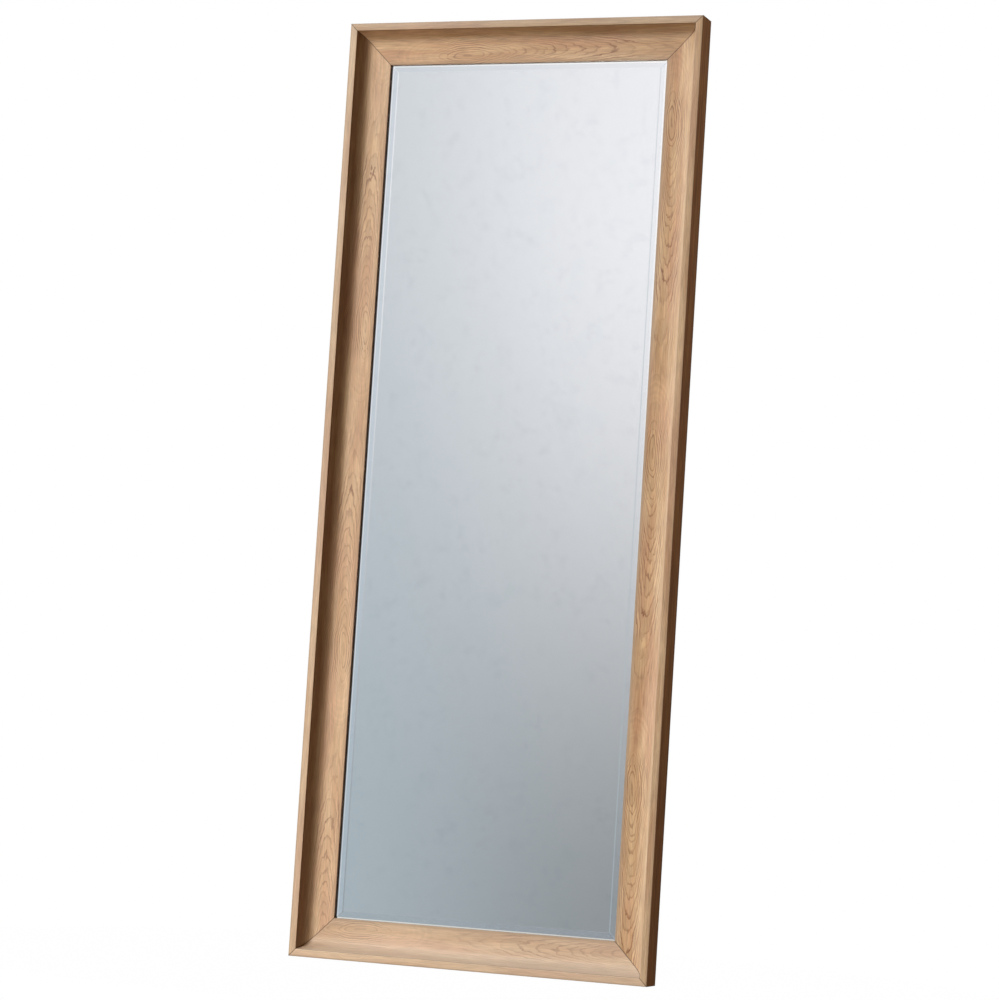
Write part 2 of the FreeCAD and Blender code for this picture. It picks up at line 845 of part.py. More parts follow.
def make_foot(name, along):
    """A rubber block on the back of the bottom rail, flush with its underside, that stops a leaning mirror sliding."""
    body = keep(new_body(f"rubber_foot_{name}"))
    sketch = new_sketch(body, body.Label + "_outline", "XZ_Plane")
    broad = brace_inset - size("foot_to_brace_gap")
    length = size("foot_length")
    rounding = size("foot_corner_round")
    outline(sketch, [(0, 0), (broad, 0, rounding), (broad, length, rounding), (0, length)])
    pad(body, body.Label + "_block", sketch, size("bumper_height"), reverse=True)
    top = size("bumper_height").value
    edge_round = size("bumper_edge_round")
    round_edges(body, body.Label + "_edges", edge_round, lambda edge: lies_at(edge, ALONG_Y, top))
    place(body, "bottom_rail", 0, along)


def make_bumper(name, side, along):
    body = keep(new_body(f"wall_bumper_{name}"))
    sketch = new_sketch(body, body.Label + "_round", "XZ_Plane")
    circle_at(sketch, 0, 0, size("bumper_radius"))
    pad(body, body.Label + "_disc", sketch, size("bumper_height"), reverse=True)
    top = size("bumper_height").value
    rounding = size("bumper_edge_round")
    round_edges(body, body.Label + "_edge", rounding, lambda edge: lies_at(edge, ALONG_Y, top))
    place(body, side, back_wood / 2, along)


def check_all():
    """Stops before anything is written if an object failed or a sub-part is empty or broken."""
    for obj in doc.Objects:
        if "Invalid" in obj.State or "Error" in obj.State:
            raise RuntimeError(f"{obj.Label} failed: {obj.State}")
    for obj in parts:
        if obj.Shape.isNull() or not obj.Shape.isValid() or not obj.Shape.Solids:
            raise RuntimeError(f"{obj.Label} has no valid solid")


def write_all():
    os.makedirs("parts", exist_ok=True)
    for obj in parts:
        obj.Shape.exportStep(f"parts/{obj.Label}.step")
        print(obj.Label, len(obj.Shape.Solids), round(obj.Shape.Volume))


for member in SIDES:
    make_member(member)
make_glass()
make_backing()
make_setting_blocks()
make_screws()
make_nails()
for member in SIDES:
    make_brace(member)
    for count, (spot_inward, spot_along) in enumerate(button_places(member), start=1):
        make_button(member, count, spot_inward, spot_along)
for hanger, (member, spot_inward, spot_along, way) in HANGERS.items():
    make_strap(hanger, member, spot_inward, spot_along, way)
    make_ring(hanger, member, spot_inward, spot_along, way)
for bumper, (member, spot_along) in BUMPERS.items():
    make_bumper(bumper, member, spot_along)
for foot, spot_along in FEET.items():
    make_foot(foot, spot_along)
doc.recompute()
check_all()
write_all()
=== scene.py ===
# %% [markdown]
# # A full-length mirror in a cove frame
#
# This is a tall leaner mirror: a bevelled glass, silvered behind, in four lengths of a
# foil-wrapped cove moulding that are mitred at the corners. The construction comes from a
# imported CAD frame, in metres, with +Z up the mirror and the face looking along -Y. Blender adds
# the finish: it models the pieces that show most again, with finer sections, and gives every
# piece a procedural material.

import math

import bmesh
import bpy
from mathutils import Matrix, Vector


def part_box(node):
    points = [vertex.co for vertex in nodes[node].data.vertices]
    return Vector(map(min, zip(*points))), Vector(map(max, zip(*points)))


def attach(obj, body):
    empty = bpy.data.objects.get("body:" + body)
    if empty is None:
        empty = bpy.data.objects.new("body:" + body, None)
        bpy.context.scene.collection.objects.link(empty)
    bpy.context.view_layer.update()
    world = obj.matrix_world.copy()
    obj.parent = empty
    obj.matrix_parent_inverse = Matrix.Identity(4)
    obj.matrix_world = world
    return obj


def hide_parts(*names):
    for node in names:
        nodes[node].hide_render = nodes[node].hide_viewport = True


MM = 0.001

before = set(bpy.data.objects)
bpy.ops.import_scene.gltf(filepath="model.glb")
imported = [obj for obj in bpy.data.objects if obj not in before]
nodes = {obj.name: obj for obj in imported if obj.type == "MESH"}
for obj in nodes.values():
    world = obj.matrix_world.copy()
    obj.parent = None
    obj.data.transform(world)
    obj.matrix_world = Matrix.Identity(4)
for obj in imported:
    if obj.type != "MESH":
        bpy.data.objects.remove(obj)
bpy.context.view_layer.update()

# %% [markdown]
# ## The camera
#
# In the photograph the mirror leans back about ten degrees, and here it stands upright, so the
# camera takes the lean over: it looks slightly up, and it is rolled a little, because it also
# stands to the right. Its place was fitted to the eight corners of the frame and of the sight
# edge. A long lens of 115 mm on a 36 mm sensor gives the weak perspective.

# %% Place the camera
PICTURE_LONG_SIDE = 1000
FOCAL_PIXELS = 3209
SENSOR = 36
CAMERA_AZIMUTH = math.radians(20.83)
CAMERA_ELEVATION = math.radians(-4.70)
CAMERA_ROLL = math.radians(3.61)
CAMERA_DISTANCE = 5.274
CAMERA_TARGET = Vector((-0.0059, 0.018, 0.7668))


def clear_selection():
    """Deselects everything, because an operator acts on all that is selected."""
    bpy.ops.object.select_all(action="DESELECT")


def direction(azimuth, elevation):
    """The way from the mirror to an azimuth, counted right from the front, and an elevation."""
    flat = math.cos(elevation)
    return Vector((math.sin(azimuth) * flat, -math.cos(azimuth) * flat, math.sin(elevation)))


def place_camera():
    back = direction(CAMERA_AZIMUTH, CAMERA_ELEVATION)
    level = (-back).cross(Vector((0, 0, 1))).normalized()
    upright = level.cross(-back)
    right = level * math.cos(CAMERA_ROLL) + upright * math.sin(CAMERA_ROLL)
    up = upright * math.cos(CAMERA_ROLL) - level * math.sin(CAMERA_ROLL)
    clear_selection()
    bpy.ops.object.camera_add()
    camera = bpy.context.object
    turn = Matrix((right, up, back)).transposed().to_4x4()
    camera.matrix_world = Matrix.Translation(CAMERA_TARGET + back * CAMERA_DISTANCE) @ turn
    camera.data.sensor_width = SENSOR
    camera.data.lens = FOCAL_PIXELS * SENSOR / PICTURE_LONG_SIDE
    bpy.context.scene.camera = camera
    return camera


camera = place_camera()
print("camera at", [round(v, 3) for v in camera.location], "lens", round(camera.data.lens, 2))

# %% [markdown]
# ## Building node trees
#
# Each material is a small tree of nodes. A few helpers keep the trees readable: one adds a node
# and fills its inputs, with numbers or with links, and others do a sum, a soft step or a mix.
# These find the tree that they work in from the sockets that they get. The last ones open a
# shader node group, which is how an effect that several materials share is made once.

# %% Helpers for node trees


def is_socket(value):
    return isinstance(value, bpy.types.NodeSocket)


def tree_of(*values):
    """The node tree that the first socket among some values belongs to."""
    return next(value.id_data for value in values if is_socket(value))


def connect(socket, value):
    """Sets an input to a value, or links it to the output of another node."""
    if is_socket(value):
        tree_of(socket).links.new(value, socket)
    else:
        socket.default_value = value


def feed(node, **inputs):
    """Fills inputs of a node. An underscore stands for a blank in an input's name."""
    for key, value in inputs.items():
        connect(node.inputs[key.replace("_", " ")], value)


def add_node(kind, inputs=None, tree=None, **settings):
    """Adds a node to a tree, or to the tree of the sockets among its inputs."""
    inputs = inputs or {}
    tree = tree or tree_of(*inputs.values())
    made = tree.nodes.new("ShaderNode" + kind)
    for name, value in settings.items():
        setattr(made, name, value)
    for key, value in inputs.items():
        connect(made.inputs[key], value)
    return made


def calc(operation, *values):
    """The output of a Math node."""
    return add_node("Math", dict(enumerate(values)), operation=operation).outputs[0]


def minus(one, other):
    return calc("SUBTRACT", one, other)


def times(*values):
    """The product of two or more values."""
    product = values[0]
    for value in values[1:]:
        product = calc("MULTIPLY", product, value)
    return product


def ease(value, low, high, out_low=0.0, out_high=1.0):
    """Maps low..high smoothly to out_low..out_high and holds both ends."""
    inputs = {
        "Value": value,
        "From Min": low,
        "From Max": high,
        "To Min": out_low,
        "To Max": out_high,
    }
    return add_node("MapRange", inputs, interpolation_type="SMOOTHSTEP").outputs[0]


# a Mix node has a pair of inputs for each kind of data, and only numbers tell these apart
FACTOR, VALUE_A, VALUE_B, COLOUR_A, COLOUR_B = 0, 2, 3, 6, 7
COLOUR_RESULT = 2


def mix_colours(share, one, other, kind="MIX"):
    inputs = {FACTOR: share, COLOUR_A: one, COLOUR_B: other}
    mix = add_node("Mix", inputs, data_type="RGBA", blend_type=kind)
    return mix.outputs[COLOUR_RESULT]


def mix_values(share, one, other):
    return add_node("Mix", {FACTOR: share, VALUE_A: one, VALUE_B: other}).outputs[0]


def vector(x, y, z):
    return add_node("CombineXYZ", {0: x, 1: y, 2: z}).outputs[0]


def split(place):
    """The three numbers of a place or a direction."""
    return add_node("SeparateXYZ", {0: place}).outputs[:3]


def object_place(tree):
    """The place on a piece in metres. All pieces sit at the origin, so it is the frame's too."""
    return add_node("TexCoord", tree=tree).outputs["Object"]


def noise(place, scale=1.0, detail=2.0, roughness=0.5):
    """A noise value about one half."""
    inputs = {"Vector": place, "Scale": scale, "Detail": detail, "Roughness": roughness}
    return add_node("TexNoise", inputs).outputs[0]


def streaks(along, across, along_scale, across_scale, seed, detail=2.0):
    """Noise that is drawn out along the grain. The scales are in features per metre."""
    stretched = vector(times(along, along_scale), times(across, across_scale), seed)
    return noise(stretched, detail=detail)


def bump(height, depth):
    """A normal from a height of 0 to 1 that stands for a depth in metres."""
    return add_node("Bump", {"Height": height, "Distance": depth}).outputs[0]


def rgb(code):
    """A linear colour from a six-digit sRGB code."""
    shares = [int(code[i : i + 2], 16) / 255 for i in (0, 2, 4)]
    return (*[s / 12.92 if s <= 0.04045 else ((s + 0.055) / 1.055) ** 2.4 for s in shares], 1.0)


def open_group(name, inputs, outputs):
    """A new node group whose inputs and outputs are numbers."""
    group = bpy.data.node_groups.new(name, "ShaderNodeTree")
    for way, titles in (("INPUT", inputs), ("OUTPUT", outputs)):
        for title in titles:
            group.interface.new_socket(title, in_out=way, socket_type="NodeSocketFloat")
    given = group.nodes.new("NodeGroupInput").outputs
    wanted = group.nodes.new("NodeGroupOutput").inputs
    return group, given, wanted


def use_group(tree, group, **inputs):
    """Places a group in a tree and returns its outputs."""
    made = tree.nodes.new("ShaderNodeGroup")
    made.node_tree = group
    feed(made, **inputs)
    return made.outputs


def open_material(name):
    """A new material, its node tree and its Principled BSDF."""
    material = bpy.data.materials.new(name)
    material.use_nodes = True
    return material, material.node_tree, material.node_tree.nodes["Principled BSDF"]


print("node helpers are ready")

# %% [markdown]
# ## Growth rings
#
# The foil shows flat-sawn wood. A flat-sawn face is a plane that passes the heart of the tree
# at some depth, so a growth ring meets it where the distance from the heart, worked out from
# the place across the board and that depth, reaches the ring's radius. Where the depth changes
# along the board the rings draw nested arches, and where it has a low point they close to
# ovals. One group works this out, and each member only needs its own curve of depth. It also
# tells how pale each ring is, how mottled the ground is, and what lies near the heart. A
# picture of wood would be quicker, but it repeats, and it blurs close up.

# %% The group for growth rings
SWAY = 5 * MM
SCALLOPS = 3 * MM
TREMOR = 0.65 * MM

# how far through a ring its late-wood line is darkest
LINE_PEAK = 0.9


def make_growth_rings():
    inputs = ("Along", "Across", "Heart", "Depth", "Pitch", "Seed")
    outputs = ("Ring", "Band", "Tone", "Near Heart")
    group, given, wanted = open_group("growth_rings", inputs, outputs)
    along, across, seed = given["Along"], given["Across"], given["Seed"]

    # the distance from the heart, disturbed at three sizes
    def disturb(value, reach, along_scale, across_scale):
        wobble = streaks(along, across, along_scale, across_scale, seed)
        return calc("MULTIPLY_ADD", minus(wobble, 0.5), reach, value)

    off_heart = disturb(minus(across, given["Heart"]), SWAY, 7, 40)
    squares = times(off_heart, off_heart)
    squares = calc("MULTIPLY_ADD", given["Depth"], given["Depth"], squares)
    radius = disturb(calc("SQRT", squares), SCALLOPS, 45, 130)
    radius = disturb(radius, TREMOR, 150, 330)

    # which ring that is, and how far through it
    uneven = noise(vector(times(radius, 150), seed, 0), detail=1)
    count = calc("DIVIDE", radius, given["Pitch"])
    count = calc("MULTIPLY_ADD", uneven, 0.8, count)
    step = calc("FRACT", count)
    number = calc("ADD", calc("FLOOR", count), seed)
    each = add_node("TexWhiteNoise", {"W": number}, noise_dimensions="1D").outputs[0]

    # a late-wood line at the end of each ring, which is sharper where it crosses the heart
    apart = calc("ABSOLUTE", off_heart)
    start = ease(apart, 4 * MM, 14 * MM, 0.58, 0.36)
    rise = ease(step, start, LINE_PEAK)
    fall = ease(step, LINE_PEAK, 1, 1, 0)
    by_ring = ease(each, 0.1, 0.9, 0.45, 1)
    by_distance = ease(apart, 12 * MM, 32 * MM, 1, 0.5)
    fading = streaks(along, across, 12, 70, calc("ADD", seed, 7))
    in_places = ease(fading, 0.32, 0.58, 0.55, 1)
    line = times(rise, fall, by_ring, by_distance, in_places)
    connect(wanted["Ring"], line)
    connect(wanted["Band"], each)
    connect(wanted["Near Heart"], ease(apart, 3 * MM, 15 * MM, 1, 0))
    broad = streaks(along, across, 6, 70, calc("ADD", seed, 9), detail=4)
    connect(wanted["Tone"], ease(broad, 0.3, 0.7))
    return group


growth_rings = make_growth_rings()
print("growth rings:", len(growth_rings.nodes), "nodes")

# %% [markdown]
# ## Fibres, wear and dust
#
# Three more groups are shared. Fibres are the short dark pores and fine streaks between the
# rings. Wear is a mask that is strongest on an arris and breaks up along it. Dust settles on
# what faces up, so it reads the direction of the surface.

# %% The groups for fibres, wear and dust


def make_fibres():
    inputs = ("Along", "Across", "Seed")
    group, given, wanted = open_group("fibres", inputs, ("Streak", "Pore"))
    along, across, seed = given["Along"], given["Across"], given["Seed"]
    coarse = streaks(along, across, 32, 420, calc("ADD", seed, 3))
    fine = streaks(along, across, 30, 1100, seed, detail=3)
    connect(wanted["Streak"], times(calc("ADD", coarse, fine), 0.5))
    pores = streaks(along, across, 110, 2200, calc("ADD", seed, 11), detail=1)
    connect(wanted["Pore"], ease(pores, 0.62, 0.76))
    return group


def make_edge_wear():
    inputs = ("Distance", "Reach", "Along", "Seed")
    group, given, wanted = open_group("edge_wear", inputs, ("Mask",))
    near = minus(1, calc("DIVIDE", given["Distance"], given["Reach"]))
    patches = noise(vector(given["Along"], given["Seed"], 0), scale=60, detail=4)
    broken = ease(patches, 0.35, 0.65, 0.3, 1)
    connect(wanted["Mask"], times(ease(near, 0, 1), broken))
    return group


def make_dust():
    group, given, wanted = open_group("dust", ("Amount",), ("Mask",))
    up = split(add_node("NewGeometry", tree=group).outputs["Normal"])[2]
    grains = noise(object_place(group), scale=450, detail=5, roughness=0.7)
    settled = times(ease(up, 0.3, 1), ease(grains, 0.35, 0.75), given["Amount"])
    connect(wanted["Mask"], settled)
    return group


fibres = make_fibres()
edge_wear = make_edge_wear()
dust = make_dust()
DUST_COLOUR = rgb("CFC9BE")
print("groups:", [group.name for group in bpy.data.node_groups])

# %% [markdown]
# ## The moulding's section
#
# All four members are cut from one moulding. Going round its section: up the outer side, over
# the flat border, down a steep wall into a large cove, along a floor that flattens out towards
# the sight edge, round the lip and back through the rebate that holds the glass. Straight lines
# with rounded corners draw it. The CAD solid has the same section with a straight floor, and its
# box gives the overall sizes here.

# %% Work out the section
BORDER = 12 * MM
WALL_RUN = 7.5 * MM
FLOOR_FALL = 3.4 * MM
FLOOR_BEND = 45 * MM
FLOOR_BEND_FALL = 0.4 * MM
BEND_RADIUS = 120 * MM
BEND_STEPS = 8
LIP = 5 * MM
REBATE = 8 * MM
COVE_RADIUS = 16 * MM
OUTER_ARRIS = 1.2 * MM
BORDER_ARRIS = 0.8 * MM
ARRIS_STEPS = 5
COVE_STEPS = 18

stile_low, stile_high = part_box("left_stile")
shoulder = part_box("glass_setting_blocks")[0].y
moulding_width = stile_high.x - stile_low.x
front = stile_low.y
back = stile_high.y
sight = shoulder - LIP
height = stile_high.z - stile_low.z
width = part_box("top_rail")[1].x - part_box("top_rail")[0].x

# corners as (inward from the outer edge, front to back, radius, steps)
CORNERS = [
    (0, back, 0, 0),
    (0, front, OUTER_ARRIS, ARRIS_STEPS),
    (BORDER, front, BORDER_ARRIS, ARRIS_STEPS),
    (BORDER + WALL_RUN, sight - FLOOR_FALL, COVE_RADIUS, COVE_STEPS),
    (FLOOR_BEND, sight - FLOOR_BEND_FALL, BEND_RADIUS, BEND_STEPS),
    (moulding_width, sight, BORDER_ARRIS, ARRIS_STEPS),
    (moulding_width, shoulder, 0, 0),
    (moulding_width - REBATE, shoulder, 0, 0),
    (moulding_width - REBATE, back, 0, 0),
]


def rounded(before, corner, after, radius, steps):
    """Points on the arc that rounds a corner between two straight lines."""
    to_before = (before - corner).normalized()
    to_after = (after - corner).normalized()
    half = to_before.angle(to_after) / 2
    centre = corner + (to_before + to_after).normalized() * (radius / math.sin(half))
    start = corner + to_before * (radius / math.tan(half)) - centre
    end = corner + to_after * (radius / math.tan(half)) - centre
    sweep = math.atan2(start.x * end.y - start.y * end.x, start.dot(end))
    points = []
    for step in range(steps + 1):
        turn = sweep * step / steps
        x = start.x * math.cos(turn) - start.y * math.sin(turn)
        y = start.x * math.sin(turn) + start.y * math.cos(turn)
        points.append(centre + Vector((x, y)))
    return points


def section_points():
    """The section as points, and the index of the middle point of each corner."""
    places = [Vector(corner[:2]) for corner in CORNERS]
    points = []
    middles = []
    for i, (_, _, radius, steps) in enumerate(CORNERS):
        after = places[(i + 1) % len(places)]
        arc = rounded(places[i - 1], places[i], after, radius, steps) if steps else [places[i]]
        middles.append(len(points) + len(arc) // 2)
        points += arc
    return points, middles


section, corner_points = section_points()
developed = [0.0]
for one, other in zip(section, section[1:] + section[:1]):
    developed.append(developed[-1] + (other - one).length)
lines = [developed[i] for i in corner_points]
OUTER_LINE, BORDER_LINE, COVE_LINE, BEND_LINE, SIGHT_LINE, LIP_LINE = lines[1:7]
GIRTH = developed[-1]
print(len(section), "points, girth", round(GIRTH / MM, 1), "mm")
print("corners at", [round(v / MM, 1) for v in lines])

# %% [markdown]
# ## Running and mitring a length
#
# On the real frame the moulding is run through a planer head, wrapped in foil and sawn at 45
# degrees on both ends. The same steps work here: one vertex is extruded from point to point to
# draw the section, the outline is filled, and the face is extruded to the member's length. Then
# two bisects cut the mitres. They stop a hair short, so that a thin glue line stays between two
# members. A boolean would do it too, but it leaves a less regular mesh.

# %% Model one length of moulding
GLUE_LINE = 0.12 * MM
SMOOTH_BELOW = math.radians(35)


def draw_section():
    """A filled outline of the section at the start of a member."""
    clear_selection()
    bpy.ops.mesh.primitive_plane_add(size=MM, location=(*section[0], 0))
    bpy.ops.object.transform_apply()
    bpy.ops.object.mode_set(mode="EDIT")
    bpy.ops.mesh.select_all(action="SELECT")
    bpy.ops.mesh.merge(type="CENTER")
    for one, other in zip(section, section[1:]):
        step = (*(other - one), 0)
        bpy.ops.mesh.extrude_region_move(TRANSFORM_OT_translate={"value": step})
    bpy.ops.mesh.select_all(action="SELECT")
    bpy.ops.mesh.edge_face_add()
    bpy.ops.object.mode_set(mode="OBJECT")
    return bpy.context.object


def cut_away(place, normal):
    """Saws off what lies beyond a plane and closes the cut."""
    bpy.ops.mesh.select_all(action="SELECT")
    bpy.ops.mesh.bisect(plane_co=place, plane_no=normal, clear_outer=True, use_fill=True)


def run_moulding(length):
    """A mitred length that starts at the origin and runs up Z."""
    piece = draw_section()
    short = GLUE_LINE * math.sqrt(2)
    bpy.ops.object.mode_set(mode="EDIT")
    bpy.ops.mesh.select_all(action="SELECT")
    bpy.ops.mesh.extrude_region_move(TRANSFORM_OT_translate={"value": (0, 0, length)})
    cut_away((0, 0, short), (1, 0, -1))
    cut_away((0, 0, length - short), (1, 0, 1))
    bpy.ops.mesh.select_all(action="SELECT")
    bpy.ops.mesh.normals_make_consistent(inside=False)
    bpy.ops.object.mode_set(mode="OBJECT")
    bpy.ops.object.shade_smooth_by_angle(angle=SMOOTH_BELOW)
    return piece


stile = run_moulding(height)
rail = run_moulding(width)
print("stile", len(stile.data.polygons), "faces; rail", len(rail.data.polygons), "faces")

# %% [markdown]
# ## A grain map and the four members
#
# The foil runs along a member and wraps its section, so the grain needs coordinates that do the
# same. The UV map holds real metres: along the member, and across it on the developed section.
# Then each length is copied with its own mesh and turned into its place round the frame, and
# its place is applied, so that the object itself stays at the origin.

# %% Map the grain and place the members
GRAIN_MAP = "Grain"

# member: source, turn about Y in degrees, starting corner across and up as shares of the frame
MEMBERS = {
    "left_stile": (stile, 0, -0.5, 0),
    "bottom_rail": (rail, -90, 0.5, 0),
    "right_stile": (stile, 180, 0.5, 1),
    "top_rail": (rail, 90, -0.5, 1),
}


def across_at(spot):
    """How far round the developed section the nearest section point lies."""
    nearest = min(range(len(section)), key=lambda i: (section[i] - spot).length)
    return developed[nearest]


def map_grain(piece):
    """Writes along and across, in metres, to the UV map of a length that still runs up Z."""
    mesh = piece.data
    while mesh.uv_layers:
        mesh.uv_layers.remove(mesh.uv_layers[0])
    layer = mesh.uv_layers.new(name=GRAIN_MAP)
    across = [across_at(vertex.co.xy) for vertex in mesh.vertices]
    for face in mesh.polygons:
        spread = [across[i] for i in face.vertices]
        wraps = len(face.vertices) == 4 and max(spread) - min(spread) > GIRTH / 2
        for loop in face.loop_indices:
            corner = mesh.loops[loop].vertex_index
            value = GIRTH if wraps and not across[corner] else across[corner]
            layer.data[loop].uv = (mesh.vertices[corner].co.z, value)


def place_member(name, source, turn, across_share, up_share):
    clear_selection()
    source.select_set(True)
    bpy.context.view_layer.objects.active = source
    bpy.ops.object.duplicate(linked=False)
    piece = bpy.context.object
    piece.name = name + "_moulding"
    piece.rotation_euler.y = math.radians(turn)
    piece.location = (width * across_share, 0, height * up_share)
    bpy.ops.object.transform_apply()
    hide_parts(name)
    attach(piece, "frame")
    return piece


for source in (stile, rail):
    map_grain(source)
mouldings = {name: place_member(name, *plan) for name, plan in MEMBERS.items()}
for source in (stile, rail):
    bpy.data.objects.remove(source)
for piece in mouldings.values():
    low, high = piece.bound_box[0], piece.bound_box[6]
    print(piece.name, [round(v, 3) for v in low], [round(v, 3) for v in high])

# %% [markdown]
# ## The foil on the mouldings
#
# The finish is a printed cherry foil under a satin lacquer. The print comes off a roller, so it
# repeats every 540 mm, and in the photograph each of the four members shows the same figure
# from another start: an oval, a nest of scalloped arches, two strong arches and a small knot.
# One ramp of colours holds the whole figure. Its red gives the depth of the heart, its green
# how strong the lines are, and its blue where the heart lies across the face.

# %% The figure of the print
PRINT_REPEAT = 540 * MM
DEEPEST = 50 * MM
HEART_LEAST = 95 * MM
HEART_SPAN = 25 * MM

# place in the repeat, depth, strength of the lines, place of the heart; lengths in mm
FIGURE = (
    (0, 7, 0.8, 111),
    (20, 3.5, 1.0, 111),
    (38, 0, 1.0, 110),
    (58, 3.5, 1.0, 109),
    (77, 7, 0.7, 108),
    (120, 10, 0.5, 106),
    (180, 19, 0.8, 103),
    (240, 24, 0.6, 103),
    (285, 27.5, 1.0, 104),
    (322, 29.6, 1.0, 105),
    (345, 31, 0.0, 107),
    (375, 33, 0.6, 109),
    (395, 34.2, 1.0, 109),
    (412, 35, 0.0, 109),
    (430, 35.6, 0.3, 109),
    (446, 36, 0.6, 109),
    (462, 33, 0.0, 110),
    (490, 20, 0.0, 111),
    (515, 9, 0.0, 111),
    (540, 7, 0.8, 111),
)


def by_member(*values):
    """One value each for the left stile, the bottom rail, the right stile and the top rail."""
    return dict(zip(MEMBERS, values))


# where each member starts in the repeat
STARTS = by_member(70 * MM, 73 * MM, 407 * MM, 373 * MM)


def read_figure(along):
    """The depth of the heart, the strength of the lines and the place of the heart."""
    share = calc("FRACT", calc("DIVIDE", along, PRINT_REPEAT))
    ramp = add_node("ValToRGB", {"Fac": share})
    ramp.color_ramp.interpolation = "B_SPLINE"
    elements = ramp.color_ramp.elements
    while len(elements) < len(FIGURE):
        elements.new(0.5)
    for element, (place, depth, strength, heart) in zip(elements, FIGURE):
        element.position = place * MM / PRINT_REPEAT
        across = (heart * MM - HEART_LEAST) / HEART_SPAN
        element.color = (depth * MM / DEEPEST, strength, across, 1)
    depth, strength, across = add_node("SeparateColor", {0: ramp.outputs[0]}).outputs[:3]
    heart = calc("MULTIPLY_ADD", across, HEART_SPAN, HEART_LEAST)
    return times(depth, DEEPEST), strength, heart


print("figure:", len(FIGURE), "stops;", round(height / PRINT_REPEAT, 1), "repeats up a stile")

# %% [markdown]
# ## Tones of the four members
#
# The four lengths differ in the photograph: one is paler, another greyer, and the coves are
# darker than the floors beside them. Part of that is the print and its wear, and part is light
# from a room that this studio doesn't have, so these values stand in for both: the darker
# borders, coves and sight edges, the change along each member, the paler coves that face the
# lamps and the outer sides that grow paler upwards are painted light and shade. A tone is a
# factor on the brightness of the print, and 1 leaves it as it is.

# %% The tones of each member
TONES = by_member(0.99, 0.88, 0.82, 0.87)
# the tone of each outer side low down, where its painted light starts
SIDE_TONES = by_member(0.7, 0.8, 1.07, 0.6)
# painted shade: how much darker each member's border, cove and floor beside the sight edge are
# made
BORDER_PAINTED_SHADE = by_member(0.76, 0.95, 0.8, 0.67)
COVE_PAINTED_SHADE = by_member(0.5, 0.95, 0.96, 0.87)
SIGHT_PAINTED_SHADE = by_member(1.0, 0.86, 0.88, 0.95)

# painted light and shade: the tones that a member starts and ends with along its length
PAINTED_LIGHT_ALONG = by_member((1.05, 0.91), (0.82, 1.03), (0.98, 1.0), (1.07, 0.87))

# how far the print turns pale cream on its floor, and in its cove, where it is painted light on
# the coves that face the lamps
CREAM_SHARE = by_member(0.17, 0.22, 0.0, 0.08)
COVE_PAINTED_LIGHT = by_member(0.0, 0.3, 0.12, 0.0)

# how warm the print is beside the heart, and how grey it is beside the sight edge
FLUSH = by_member(0.15, 0.5, 0.75, 0.5)
GREYED = by_member(0.25, 0.55, 0.75, 0.4)
print("tones:", TONES)

# %% The foil's colours
FOIL_PALE = rgb("D8BB97")
FOIL_MID = rgb("BF9A74")
FOIL_ROSY = rgb("C2977A")
FOIL_RING = rgb("774729")
FOIL_FLUSH = rgb("E9E1D2")
FOIL_PORE = rgb("75502F")
FOIL_CREAM = rgb("E6D8C8")
PRINT_SEED = 4

# rings stand further apart where the heart comes near the face, in an oval
OVAL_DEPTH = 2 * MM
RING_DEPTH = 12 * MM
OVAL_PITCH = 3.6 * MM
RING_PITCH = 2.1 * MM

# how much one ring may differ from the next, and how much paler painted light makes a side at its
# top
BAND_SPREAD = 0.1
SIDE_PAINTED_LIGHT_RISE = 1.42


def side_stain_and_light(tree, name, along, across):
    """The side is stained in streaks, paler upwards with painted light, darker with painted shade
    at its back.
    """
    streaky = ease(streaks(along, across, 9, 260, 6, detail=3), 0.35, 0.65, 0.72, 1.2)
    back_edge_shade = ease(across, 2 * MM, 7 * MM, 0.8, 1)
    z = split(object_place(tree))[2]
    low = SIDE_TONES[name]
    # painted light and shade: streaky stain, a darker back edge, and a side that grows paler
    # towards the top
    stain = times(streaky, back_edge_shade, ease(z, 0, height, low, low * SIDE_PAINTED_LIGHT_RISE))
    on_side = ease(across, OUTER_LINE - 2 * MM, OUTER_LINE, 1, 0)
    return mix_values(on_side, 1, stain)


def ring_colour(tree, name, along, across):
    """Rings over a mottled ground, and the tone of each ring."""
    depth, strength, heart = read_figure(calc("ADD", along, STARTS[name]))
    pitch = ease(depth, OVAL_DEPTH, RING_DEPTH, OVAL_PITCH, RING_PITCH)
    rings = use_group(tree, growth_rings, Along=along, Across=across, Heart=heart, Depth=depth,
                      Pitch=pitch, Seed=PRINT_SEED)
    ground = mix_colours(rings["Tone"], FOIL_MID, FOIL_PALE)
    blush = ease(streaks(along, across, 5, 28, PRINT_SEED), 0.4, 0.68, 0, 0.6)
    ground = mix_colours(blush, ground, FOIL_ROSY)
    flush = times(rings["Near Heart"], FLUSH[name])
    ground = mix_colours(flush, ground, FOIL_FLUSH, "MULTIPLY")
    colour = mix_colours(times(rings["Ring"], strength), ground, FOIL_RING)
    least = TONES[name] - BAND_SPREAD / 2
    return colour, calc("MULTIPLY_ADD", rings["Band"], BAND_SPREAD, least)


